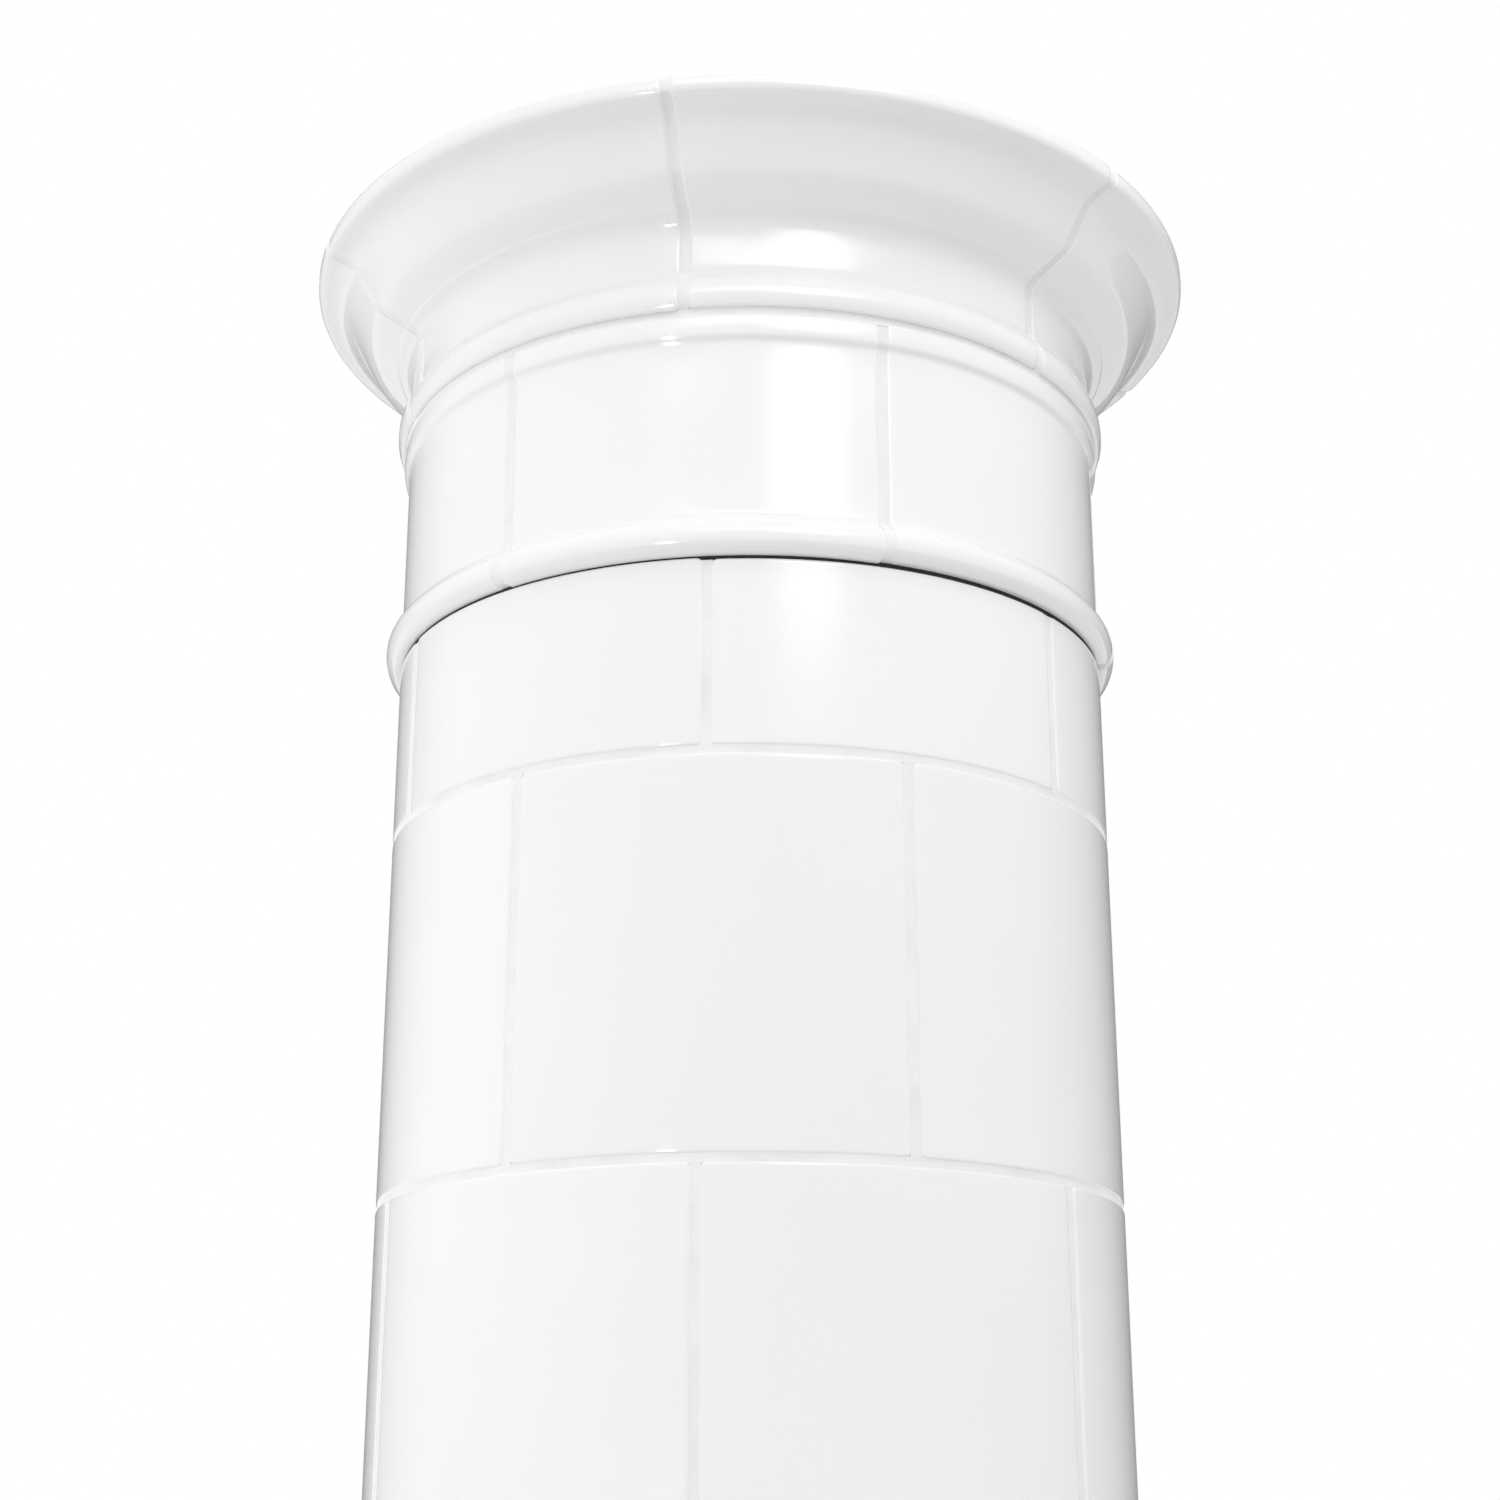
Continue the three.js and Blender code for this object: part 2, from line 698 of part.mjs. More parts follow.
// One hinge: where its knuckles and its pin stand, from its middle height.
function hingeLevels(middle) {
  const leaf = [middle - leafKnuckleHeight / 2, middle + leafKnuckleHeight / 2];
  const below = [leaf[0] - knuckleGap - frameKnuckleHeight, leaf[0] - knuckleGap];
  const above = [leaf[1] + knuckleGap, leaf[1] + knuckleGap + frameKnuckleHeight];
  return { leaf, below, above };
}

const hinges = [leafTop - hingeInset, leafBottom + hingeInset].map(hingeLevels);
const barrel = (side, [z0, z1]) => upright(hingeBarrelRadius, z0, z1, 12, side * hingeX, hingeY);
const pinHole = (side, [z0, z1]) =>
  upright(hingePinRadius + 0.5, z0 - 1, z1 + 1, 12, side * hingeX, hingeY);

function doorFrame() {
  const flangeHalf = openingHalf + flangeWidth - 10;
  const foot = openingBottom - flangeWidth + 8;
  const head = openingTop + flangeWidth - 8;
  const skin = arcBlock(flangeInner, flangeOuter, foot, head, -doorSpan, doorSpan);
  const flange = common(skin, block([-flangeHalf, flangeHalf], [-2 * bodyRadius, 0], [foot, head]));
  const sleeveBlock = block(
    [-sleeveOuter, sleeveOuter],
    [-2 * bodyRadius, -bodyRadius + sleeveDepth],
    [sleeveFoot, sleeveHead],
  );
  const within = arcBlock(150, bodyRadius + 2, sleeveFoot, sleeveHead, -50, 50);
  const sleeve = common(sleeveBlock, within);
  const passage = block(
    [-sleeveInner, sleeveInner],
    [-2 * bodyRadius, 0],
    [sleeveFoot + sleeveThickness, sleeveHead - sleeveThickness],
  );
  const leafRoom = common(
    arcBlock(bodyRadius - 0.6, bodyRadius + 20, tall[0], tall[1], -doorSpan, doorSpan),
    block([-leafHalf - leafClearance, leafHalf + leafClearance], [-2 * bodyRadius, 0], tall),
  );
  let frame = cut(joined(flange, sleeve), passage, leafRoom);
  for (const side of [-1, 1]) {
    for (const { below, above } of hinges) {
      for (const level of [below, above]) {
        const root = side * (hingeX + 3);
        const web = block([root - 6, root + 5], [hingeY, hingeY + hingeBarrelRadius + 6], level);
        const kept = cut(web, arcBlock(100, flangeInner + 1.5, 0, 2 * openingTop, -50, 50));
        frame = joined(frame, kept, barrel(side, level));
        frame = cut(frame, pinHole(side, level));
      }
    }
  }
  return frame;
}

// A curved plate between two heights and two distances from the middle, on one side.
function leafPlate(side, r0, r1, x0, x1, z0, z1) {
  const skin = arcBlock(r0, r1, z0, z1, -doorSpan, doorSpan);
  return common(skin, block(sorted(side * x0, side * x1), [-2 * bodyRadius, 0], [z0, z1]));
}

const slotLevels = Array.from({ length: slotCount }, (_, i) => leafBottom + 40 + i * slotPitch);
const slots = (side, r0, r1, levels, [from, to]) =>
  levels.map((z) => {
    const span = sorted(side * from, side * to);
    return arcBlock(r0, r1, z - slotHeight / 2, z + slotHeight / 2, ...span);
  });
const shutterInner = leafOuter + dryGap;
const shutterOuter = shutterInner + 2;
const shutterFoot = leafBottom + 34;
const shutterHead = leafBottom + 94;
const shutterTravel = slotPitch / 2;

function doorLeaf(side) {
  const middleEdge = 0.75;
  const z = [leafBottom, leafTop];
  const plate = leafPlate(side, leafInner, leafOuter, middleEdge, leafHalf, z[0], z[1]);
  const raised = leafPlate(side, leafOuter - 1, leafOuter + 2, middleEdge, leafHalf, z[0], z[1]);
  const field = leafPlate(
    side,
    leafOuter - 2,
    leafOuter + 5,
    middleEdge + leafBorder,
    leafHalf - leafBorder,
    z[0] + leafBorder,
    z[1] - leafBorder,
  );
  let leaf = joined(plate, cut(raised, field));

  // Two upright guides with lips hold the draught shutter.
  for (const [edge, outwards] of [[shutterAzimuths[0], -1], [shutterAzimuths[1], 1]]) {
    const near = edge + outwards * angleOf(0.5, bodyRadius);
    const far = near + outwards * angleOf(5, bodyRadius);
    const lip = near - outwards * angleOf(2, bodyRadius);
    const span = (a, b) => sorted(side * a, side * b);
    const foot = shutterFoot - shutterTravel - 2;
    const post = arcBlock(leafOuter - 1, shutterOuter + 2, foot, shutterHead, ...span(near, far));
    const over = arcBlock(shutterOuter + 0.5, shutterOuter + 2, foot, shutterHead, ...span(lip, far));
    leaf = joined(leaf, post, over);
  }
  for (const { leaf: level } of hinges) {
    const strapOuter = hingeRadius - 1.5;
    const strap = leafPlate(side, flangeOuter + 0.8, strapOuter, leafHalf - 14, hingeX, ...level);
    const pad = leafPlate(side, leafOuter - 1, strapOuter, leafHalf - 22, leafHalf - 8, ...level);
    leaf = joined(leaf, strap, pad, barrel(side, level));
    leaf = cut(leaf, pinHole(side, level));
  }
  const slotSpan = [shutterAzimuths[0] + 1.5, shutterAzimuths[1] - 1.5];
  const holes = slots(side, leafInner - 5, leafOuter + 5, slotLevels, slotSpan);
  const spindleHole = plug(spindleRadius + fitGap, 200, 400, side * knobAzimuth, knobHeight, 12);
  return cut(leaf, ...holes, spindleHole);
}

function heatShield(side) {
  const outer = leafInner - seatGap;
  const inner = outer - shieldThickness;
  const edge = rabbet + 3;
  const z = [leafBottom + edge, leafTop - edge];
  const sheet = leafPlate(side, inner, outer, 8, leafHalf - edge, z[0], z[1]);
  const slotSpan = [shutterAzimuths[0] + 1, shutterAzimuths[1] - 1];
  const spindleHole = plug(spindleRadius + fitGap, 200, 400, side * knobAzimuth, knobHeight, 12);
  return cut(sheet, ...slots(side, inner - 5, outer + 5, slotLevels, slotSpan), spindleHole);
}

function draughtShutter(side) {
  const [from, to] = sorted(side * shutterAzimuths[0], side * shutterAzimuths[1]);
  const sheet = arcBlock(shutterInner, shutterOuter, shutterFoot, shutterHead, from, to);
  const levels = slotLevels.map((level) => level + shutterTravel);
  const slotSpan = [shutterAzimuths[0] + 1.5, shutterAzimuths[1] - 1.5];
  const middle = (shutterAzimuths[0] + shutterAzimuths[1]) / 2;
  const stud = turned(
    [
      [0, shutterInner + 1],
      [2.5, shutterInner + 1],
      [2.5, shutterOuter + 5],
      [4.5, shutterOuter + 7],
      [4.5, shutterOuter + 10],
      [0, shutterOuter + 11],
    ],
    side * middle,
    shutterHead - 8,
    10,
  );
  const slotted = cut(sheet, ...slots(side, shutterInner - 2, shutterOuter + 2, levels, slotSpan));
  return joined(slotted, stud);
}

const knobHeight = (leafBottom + leafTop) / 2;

// One long pin a side drops through both hinges.
function hingePin(side) {
  const [{ above }, { below }] = hinges;
  const shank = upright(hingePinRadius, below[0] - 2, above[1] + 1, 12, side * hingeX, hingeY);
  const head = upright(
    hingeBarrelRadius - 0.5,
    above[1] + seatGap,
    above[1] + seatGap + 4,
    12,
    side * hingeX,
    hingeY,
  );
  return joined(shank, head);
}

function fireDoors() {
  const group = new THREE.Group();
  piece(group, "door_frame", doorFrame(), "brass");
  for (const [side, hand] of [[-1, "left"], [1, "right"]]) {
    piece(group, `${hand}_door`, doorLeaf(side), "brass");
    piece(group, `${hand}_heat_shield`, heatShield(side), "iron");
    piece(group, `${hand}_hinge_pin`, hingePin(side), "brass");
    piece(group, `${hand}_draught_shutter`, draughtShutter(side), "brass");
  }
  const seat = leafOuter + seatGap;
  const barFace = leafInner - seatGap - shieldThickness - latchTravel;
  const barBack = barFace - 4;
  const turner = joined(
    knob(seat, knobAzimuth, knobHeight),
    plug(spindleRadius, barBack - 2, seat + 1, knobAzimuth, knobHeight, 12),
  );
  piece(group, "latch_knob", turner, "brass");
  const stub = plug(spindleRadius, leafInner - 0.3, seat + 1, -knobAzimuth, knobHeight, 12);
  const pull = joined(knob(seat, -knobAzimuth, knobHeight), stub);
  piece(group, "left_pull_knob", pull, "brass");

  // The latch bar hangs down from the spindle and swings up behind the other leaf.
  const strip = block([-7, 7], [barBack, barFace], [knobHeight - latchLength, knobHeight + 8]);
  strip.rotateZ(radians(knobAzimuth - 180));
  const eye = plug(spindleRadius + seatGap, 200, 400, knobAzimuth, knobHeight, 12);
  piece(group, "latch_bar", cut(strip, eye), "iron");
  return group;
}

const stove = new THREE.Group();
stove.name = "tiled_stove";
stove.add(shell(), heart(), crownAssembly(), fireDoors(), damper());
piece(stove, "flue_spigot", flueSpigot(), "steel");
piece(stove, "flue_collar", flueCollar(), "steel");
piece(stove, "left_soot_hatch", sootHatch(-1), "brass");
piece(stove, "right_soot_hatch", sootHatch(1), "brass");

export default stove;
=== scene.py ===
import bisect
import math
import random
import bmesh
import bpy
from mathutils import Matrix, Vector


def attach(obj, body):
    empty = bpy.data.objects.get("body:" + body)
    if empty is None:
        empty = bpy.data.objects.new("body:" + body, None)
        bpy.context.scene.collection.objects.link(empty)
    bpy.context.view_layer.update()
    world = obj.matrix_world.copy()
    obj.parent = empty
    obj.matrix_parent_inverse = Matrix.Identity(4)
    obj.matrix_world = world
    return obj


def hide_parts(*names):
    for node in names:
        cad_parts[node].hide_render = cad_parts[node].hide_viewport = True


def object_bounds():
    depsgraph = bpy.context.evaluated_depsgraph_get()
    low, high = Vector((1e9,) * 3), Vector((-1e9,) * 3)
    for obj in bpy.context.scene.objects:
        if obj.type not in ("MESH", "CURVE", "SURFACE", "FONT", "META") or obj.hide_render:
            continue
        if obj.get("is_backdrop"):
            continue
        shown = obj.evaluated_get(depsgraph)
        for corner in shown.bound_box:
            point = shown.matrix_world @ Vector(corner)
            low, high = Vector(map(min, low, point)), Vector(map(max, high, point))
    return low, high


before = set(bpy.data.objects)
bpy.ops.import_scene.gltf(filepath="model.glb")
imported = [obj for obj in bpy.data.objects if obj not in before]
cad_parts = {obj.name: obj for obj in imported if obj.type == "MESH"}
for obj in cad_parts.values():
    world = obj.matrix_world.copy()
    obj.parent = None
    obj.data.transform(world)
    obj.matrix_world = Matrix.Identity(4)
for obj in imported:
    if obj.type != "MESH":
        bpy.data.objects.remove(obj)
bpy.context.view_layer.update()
scene = bpy.context.scene
chance = random.Random(4)
mm = 0.001
print("frame loaded,", len(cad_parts), "nodes")

# Lengths below are millimetres. Azimuths are degrees from the front, growing to the right.


def outwards(azimuth):
    a = math.radians(azimuth)
    return Vector((math.sin(a), -math.cos(a), 0)), Vector((math.cos(a), math.sin(a), 0))


def polar(radius, azimuth, height):
    return outwards(azimuth)[0] * radius + Vector((0, 0, height))


def easing(value, start, end):
    t = min(1, max(0, (value - start) / (end - start)))
    return t * t * (3 - 2 * t)


# Nodes of the finishes.


def addNode(tree, kind, inputs=None, **settings):
    node = tree.nodes.new("ShaderNode" + kind)
    for name, value in settings.items():
        setattr(node, name, value)
    for name, value in (inputs or {}).items():
        if isinstance(value, bpy.types.NodeSocket):
            tree.links.new(value, node.inputs[name])
        else:
            node.inputs[name].default_value = value
    return node


def startFinish(name, metal=0.0, ior=1.5):
    material = bpy.data.materials.new(name)
    material.use_nodes = True
    tree = material.node_tree
    shader = tree.nodes["Principled BSDF"]
    shader.inputs["Metallic"].default_value = metal
    shader.inputs["IOR"].default_value = ior
    return material, tree, shader


def noiseOf(tree, where, scale, detail=3.0, roughness=0.5):
    inputs = {"Vector": where, "Scale": scale, "Detail": detail, "Roughness": roughness}
    return addNode(tree, "TexNoise", inputs).outputs["Fac"]


def rangeOf(tree, source, low, high, fromLow=0.3, fromHigh=0.7):
    inputs = {"Value": source, "From Min": fromLow, "From Max": fromHigh, "To Min": low, "To Max": high}
    return addNode(tree, "MapRange", inputs).outputs["Result"]


def rampOf(tree, source, stops):
    ramp = addNode(tree, "ValToRGB", {"Fac": source})
    marks = ramp.color_ramp.elements
    while len(marks) < len(stops):
        marks.new(0.5)
    for mark, (place, colour) in zip(marks, stops):
        mark.position = place
        mark.color = (*colour, 1)
    return ramp.outputs["Color"]


def mathOf(tree, operation, a, b=0.0):
    return addNode(tree, "Math", {0: a, 1: b}, operation=operation).outputs[0]


def bumpOf(tree, height, strength, distance, under=None):
    inputs = {"Height": height, "Strength": strength, "Distance": distance}
    if under:
        inputs["Normal"] = under
    return addNode(tree, "Bump", inputs).outputs["Normal"]


def objectPlace(tree):
    return addNode(tree, "TexCoord").outputs["Object"]


# Sockets 6 and 7 of a Mix node are its two colours, and output 2 is the colour that comes out.
def multiplied(tree, first, second):
    node = addNode(tree, "Mix", {"Factor": 1.0}, data_type="RGBA", blend_type="MULTIPLY")
    tree.links.new(first, node.inputs[6])
    tree.links.new(second, node.inputs[7])
    return node.outputs[2]


# 1 where a surface is seen in the gloss of another.
def inGlossOf(tree, path):
    return mathOf(tree, "MAXIMUM", path["Is Glossy Ray"], path["Is Transmission Ray"])


def wire(tree, shader, colour, roughness, normal):
    for name, source in (("Base Color", colour), ("Roughness", roughness), ("Normal", normal)):
        tree.links.new(source, shader.inputs[name])


# The finishes.

glazeLook = {
    "colour": (0.905, 0.905, 0.9), "shade": (0.88, 0.882, 0.878), "roughness": (0.05, 0.1),
    "waves": 0.22, "coat": 0.5, "coatRoughness": 0.03,
}


def whiteGlaze():
    material, tree, shader = startFinish("white_glaze", ior=1.52)
    tone = addNode(tree, "Attribute", attribute_name="tileTone").outputs["Fac"]
    far = mathOf(tree, "MULTIPLY", tone, 37)
    shifted = addNode(tree, "CombineXYZ", {"X": far, "Y": tone, "Z": tone}).outputs[0]
    where = addNode(tree, "VectorMath", {0: objectPlace(tree), 1: shifted}).outputs[0]
    # The glaze pools a little, so its tone wanders over a tile and from tile to tile.
    cloud = noiseOf(tree, where, 5.5, 2)
    ownTone = mathOf(tree, "MULTIPLY", tone, 0.35)
    mixed = mathOf(tree, "ADD", mathOf(tree, "MULTIPLY", cloud, 0.65), ownTone)
    colour = rampOf(tree, mixed, [(0.3, glazeLook["shade"]), (0.65, glazeLook["colour"])])
    # Pinholes, few and small.
    cells = addNode(tree, "TexVoronoi", {"Vector": where, "Scale": 16.0})
    pin = rangeOf(tree, cells.outputs["Distance"], 0.45, 1.0, 0.004, 0.009)
    smear = noiseOf(tree, where, 14.0, 4)
    shader.inputs["Coat Weight"].default_value = glazeLook["coat"]
    shader.inputs["Coat Roughness"].default_value = glazeLook["coatRoughness"]
    slow = bumpOf(tree, noiseOf(tree, where, 9.0, 1), glazeLook["waves"], 0.0012)
    peel = bumpOf(tree, noiseOf(tree, where, 85.0, 2), 0.035, 0.001, slow)
    roughness = rangeOf(tree, smear, *glazeLook["roughness"])
    wire(tree, shader, multiplied(tree, colour, pin), roughness, peel)
    return material


# A finish made of noises, each (stretch or None, scale, detail, roughness). The first one gives the
# colour and, unless roughFrom says otherwise, the roughness. A bump is (noise, strength, distance).
def noisyFinish(name):
    look = looks[name]
    material, tree, shader = startFinish(name, look.get("metal", 0.0))
    noises = []
    for stretch, *settings in look["noises"]:
        where = objectPlace(tree)
        if stretch:
            where = addNode(tree, "Mapping", {"Vector": where, "Scale": stretch}).outputs[0]
        noises.append(noiseOf(tree, where, *settings))
    normal = None
    for source, strength, distance in look["bumps"]:
        normal = bumpOf(tree, noises[source], strength, distance, normal)
    roughness = rangeOf(tree, noises[look.get("roughFrom", 0)], *look["roughness"])
    wire(tree, shader, rampOf(tree, noises[0], look["colours"]), roughness, normal)
    return material


looks = {
    "pointing_mortar": {
        "noises": [(None, 22.0, 5, 0.6), (None, 900.0, 3)],
        "colours": [(0.3, (0.83, 0.83, 0.82)), (0.62, (0.89, 0.89, 0.885))],
        "roughness": (0.95, 0.75),
        "bumps": [(1, 0.35, 0.0004)],
    },
    # Patina, then drawn scratches and dents.
    "aged_brass": {
        "metal": 1.0,
        "noises": [(None, 31.0, 7, 0.6), ((40.0, 40.0, 900.0), 1.0, 3), (None, 30.0, 2)],
        "colours": [(0.34, (0.62, 0.44, 0.2)), (0.6, (0.77, 0.57, 0.28))],
        "roughness": (0.34, 0.2),
        "bumps": [(1, 0.06, 0.0004), (2, 0.06, 0.0006)],
    },
    "black_iron": {
        "metal": 0.75,
        "noises": [(None, 26.0, 7, 0.6), (None, 420.0, 4, 0.6)],
        "colours": [(0.35, (0.018, 0.018, 0.02)), (0.72, (0.06, 0.056, 0.052))],
        "roughness": (0.72, 0.5),
        "bumps": [(1, 0.3, 0.0005)],
    },
    # Spots in the colour, and drawn lines in the roughness and the bump.
    "flue_steel": {
        "metal": 1.0,
        "noises": [(None, 12.0, 5, 0.6), ((30.0, 1200.0, 30.0), 1.0, 4)],
        "colours": [(0.35, (0.38, 0.385, 0.4)), (0.65, (0.56, 0.57, 0.58))],
        "roughness": (0.28, 0.45),
        "roughFrom": 1,
        "bumps": [(1, 0.12, 0.0003)],
    },
    # Trowelled, with sand in it.
    "rough_mortar": {
        "noises": [(None, 11.0, 6, 0.6), (None, 380.0, 4, 0.6)],
        "colours": [(0.32, (0.46, 0.44, 0.4)), (0.66, (0.62, 0.6, 0.56))],
        "roughness": (0.98, 0.85),
        "bumps": [(0, 0.5, 0.006), (1, 0.4, 0.0008)],
    },
    # Painted shadow: the packing is near black so that the open joint under the frieze reads as a dark
    # shadow line.
    "packing_shadow_black": {
        "noises": [((300.0, 300.0, 60.0), 1.0, 4, 0.7)],
        "colours": [(0.35, (0.01, 0.01, 0.01)), (0.7, (0.028, 0.027, 0.026))],
        "roughness": (1.0, 0.9),
        "bumps": [(0, 0.6, 0.0008)],
    },
}
# Two brick colours and the joint's. Lengths are metres.
brickLook = {
    "Color1": (0.62, 0.47, 0.33, 1), "Color2": (0.47, 0.33, 0.22, 1), "Mortar": (0.46, 0.42, 0.37, 1),
    "Scale": 1.0, "Mortar Size": 0.0015, "Brick Width": 0.25, "Row Height": 0.062,
}
brickTurnRadius = 0.2


# Bricks in courses round the stove's axis, or else laid flat.
def firebrick(name, inCourses):
    material, tree, shader = startFinish(name)
    where = objectPlace(tree)
    parts = addNode(tree, "SeparateXYZ", {"Vector": where}).outputs
    along, up = parts["X"], parts["Y"]
    if inCourses:
        turn = mathOf(tree, "ARCTAN2", parts["X"], parts["Y"])
        along, up = mathOf(tree, "MULTIPLY", turn, brickTurnRadius), parts["Z"]
    laid = addNode(tree, "CombineXYZ", {"X": along, "Y": up}).outputs[0]
    bricks = addNode(tree, "TexBrick", {"Vector": laid, **brickLook})
    soot = noiseOf(tree, where, 7.0, 5, 0.6)
    dark = rangeOf(tree, soot, 0.55, 1.0, 0.35, 0.65)
    sooty = multiplied(tree, bricks.outputs["Color"], dark)
    grit = bumpOf(tree, noiseOf(tree, where, 260.0, 5, 0.6), 0.35, 0.001)
    rake = bumpOf(tree, mathOf(tree, "SUBTRACT", 1.0, bricks.outputs["Fac"]), 0.8, 0.002, grit)
    wire(tree, shader, sooty, rangeOf(tree, soot, 0.98, 0.86), rake)
    return material


glaze = whiteGlaze()
pointing, brass, iron, steel, mortar, shadowBlackPacking = [noisyFinish(name) for name in looks]
roundBricks, flatBricks = firebrick("firebrick_courses", True), firebrick("firebrick_slabs", False)
print("finishes made")


# From points and faces to a piece of the stove.


def tidyMesh(mesh, sharp):
    work = bmesh.new()
    work.from_mesh(mesh)
    bmesh.ops.remove_doubles(work, verts=work.verts, dist=2e-6)
    bmesh.ops.dissolve_degenerate(work, edges=work.edges, dist=1e-6)
    bmesh.ops.recalc_face_normals(work, faces=work.faces)
    work.to_mesh(mesh)
    work.free()
    mesh.shade_smooth()
    mesh.set_sharp_from_angle(angle=math.radians(sharp))


# shapes is a list of (points, faces), all in one mesh.
def meshObject(name, shapes, sharp):
    points, faces = [], []
    for somePoints, someFaces in shapes:
        faces += [[i + len(points) for i in face] for face in someFaces]
        points += [Vector(p) * mm for p in somePoints]
    mesh = bpy.data.meshes.new(name)
    mesh.from_pydata(points, [], faces)
    tidyMesh(mesh, sharp)
    thing = bpy.data.objects.new(name, mesh)
    scene.collection.objects.link(thing)
    return thing


def makePiece(name, shapes, material, body="stove", nodes=(), sharp=38, bevel=0.0):
    piece = meshObject(name, shapes, sharp)
    piece.data.materials.append(material)
    if bevel:
        edge = piece.modifiers.new("soft edges", "BEVEL")
        edge.width = bevel * mm
        edge.segments = 2
        edge.limit_method = "ANGLE"
        edge.angle_limit = math.radians(40)
    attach(piece, body)
    if nodes:
        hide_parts(*nodes)
    return piece


# Faces between rings of equal length, open at both ends, capped there, or joined to one another.
def ringFaces(rings, size, joined=False, capped=True):
    faces = []
    for i in range(rings if joined else rings - 1):
        here, there = i * size, (i + 1) % rings * size
        for j in range(size):
            k = (j + 1) % size
            faces.append([here + j, here + k, there + k, there + j])
    if capped and not joined:
        faces.append(list(range(size))[::-1])
        faces.append([(rings - 1) * size + j for j in range(size)])
    return faces


def disc(radius, sides):
    turns = [2 * math.pi * j / sides for j in range(sides)]
    return [(radius * math.cos(t), radius * math.sin(t)) for t in turns]


# Turned shapes are capped unless they close on themselves or taper to a point.
def turnedFaces(profile, sides, joined):
    ends = joined or (profile[0][0] == 0 and profile[-1][0] == 0)
    return ringFaces(len(profile), sides, joined, capped=not ends)


# A front and a rear layer of points, each wide by tall, closed round their border.
def layerFaces(wide, tall, rearFirst=False):
    size = wide * tall
    faces = []
    for i in range(tall - 1):
        for j in range(wide - 1):
            a = i * wide + j
            faces.append([a, a + 1, a + wide + 1, a + wide])
            faces.append([size + a, size + a + wide, size + a + wide + 1, size + a + 1])
    border = [*range(wide - 1)]
    border += [i * wide + wide - 1 for i in range(tall - 1)]
    border += [(tall - 1) * wide + j for j in range(wide - 1, 0, -1)]
    border += [i * wide for i in range(tall - 1, 0, -1)]
    for a, b in zip(border, border[1:] + border[:1]):
        faces.append([a, a + size, b + size, b])
    return [[face[0], *face[:0:-1]] for face in faces] if rearFirst else faces


# Turned about a line that points straight out of the stove. The profile is (radius, distance out).
def turnedOut(profile, azimuth, height, sides=48, joined=False):
    out, side = outwards(azimuth)
    points = []
    for radius, distance in profile:
        for across, up in disc(1, sides):
            around = side * across + Vector((0, 0, up))
            points.append(out * distance + around * radius + Vector((0, 0, height)))
    return points, turnedFaces(profile, sides, joined)


def peg(radius, near, far, azimuth, height, sides=24):
    return turnedOut([(0, near), (radius, near), (radius, far), (0, far)], azimuth, height, sides)


# Turned about an upright line. The profile is (radius, height).
def turnedUp(profile, x=0.0, y=0.0, sides=32, joined=False):
    points = []
    for radius, height in profile:
        points += [Vector((x + across, y + along, height)) for across, along in disc(radius, sides)]
    return points, turnedFaces(profile, sides, joined)


# Outlines bent round the stove: each loop is ([(across, up)], radius).
def wrapped(loops, azimuth, height, joined=False):
    out, side = outwards(azimuth)
    points = []
    for outline, radius in loops:
        for across, up in outline:
            depth = math.sqrt(radius**2 - across**2)
            points.append(out * depth + side * across + Vector((0, 0, height + up)))
    return points, ringFaces(len(loops), len(loops[0][0]), joined)


# Circles for wrapped, from (circle's radius, distance from the stove's axis).
def discs(profile, sides=64):
    return [(disc(radius, sides), distance) for radius, distance in profile]


# An outline with round corners, always with the same number of points.
def roundedBox(left, right, foot, head, corner, along=12, turn=4):
    corners = [
        (right - corner, foot + corner, -90),
        (right - corner, head - corner, 0),
        (left + corner, head - corner, 90),
        (left + corner, foot + corner, 180),
    ]
    arcs, outline = [], []
    for x, z, start in corners:
        turns = [math.radians(start + 90 * j / turn) for j in range(turn + 1)]
        arcs.append([(x + corner * math.cos(t), z + corner * math.sin(t)) for t in turns])
    for arc, following in zip(arcs, arcs[1:] + arcs[:1]):
        outline += arc
        for share in [j / along for j in range(1, along)]:
            outline.append(tuple(a + (b - a) * share for a, b in zip(arc[-1], following[0])))
    return outline


def pierced(piece, shapes, sharp=38):
    cutter = makePiece("cutter", shapes, iron)
    cut = piece.modifiers.new("holes", "BOOLEAN")
    cut.operation = "DIFFERENCE"
    cut.solver = "EXACT"
    cut.object = cutter
    bpy.context.view_layer.update()
    seen = piece.evaluated_get(bpy.context.evaluated_depsgraph_get())
    mesh = bpy.data.meshes.new_from_object(seen)
    piece.modifiers.clear()
    piece.data = mesh
    bpy.data.objects.remove(cutter)
    tidyMesh(mesh, sharp)


# Lines that the tiles' faces follow.


# A smooth line through points, whatever their spacing.
def smoothLine(points, step=1.5):
    line = []
    padded = [points[0], *points, points[-1]]
    padded[0] = tuple(2 * a - b for a, b in zip(points[0], points[1]))
    padded[-1] = tuple(2 * a - b for a, b in zip(points[-1], points[-2]))
    for a, b, c, d in zip(padded, padded[1:], padded[2:], padded[3:]):
        knots, pairs = [0], ((a, b), (b, c), (c, d))
        for p, q in pairs:
            knots.append(knots[-1] + math.dist(p, q) ** 0.5)

        def blend(p, q, start, end, t):
            share = (t - start) / (end - start)
            return tuple(u + (v - u) * share for u, v in zip(p, q))

        count = max(1, round(math.dist(b, c) / step))
        for i in range(count):
            t = knots[1] + (knots[2] - knots[1]) * i / count
            near = [blend(p, q, knots[k], knots[k + 1], t) for k, (p, q) in enumerate(pairs)]
            near = [blend(near[k], near[k + 1], knots[k], knots[k + 2], t) for k in range(2)]
            line.append(blend(*near, knots[1], knots[2], t))
    return [*line, points[-1]]


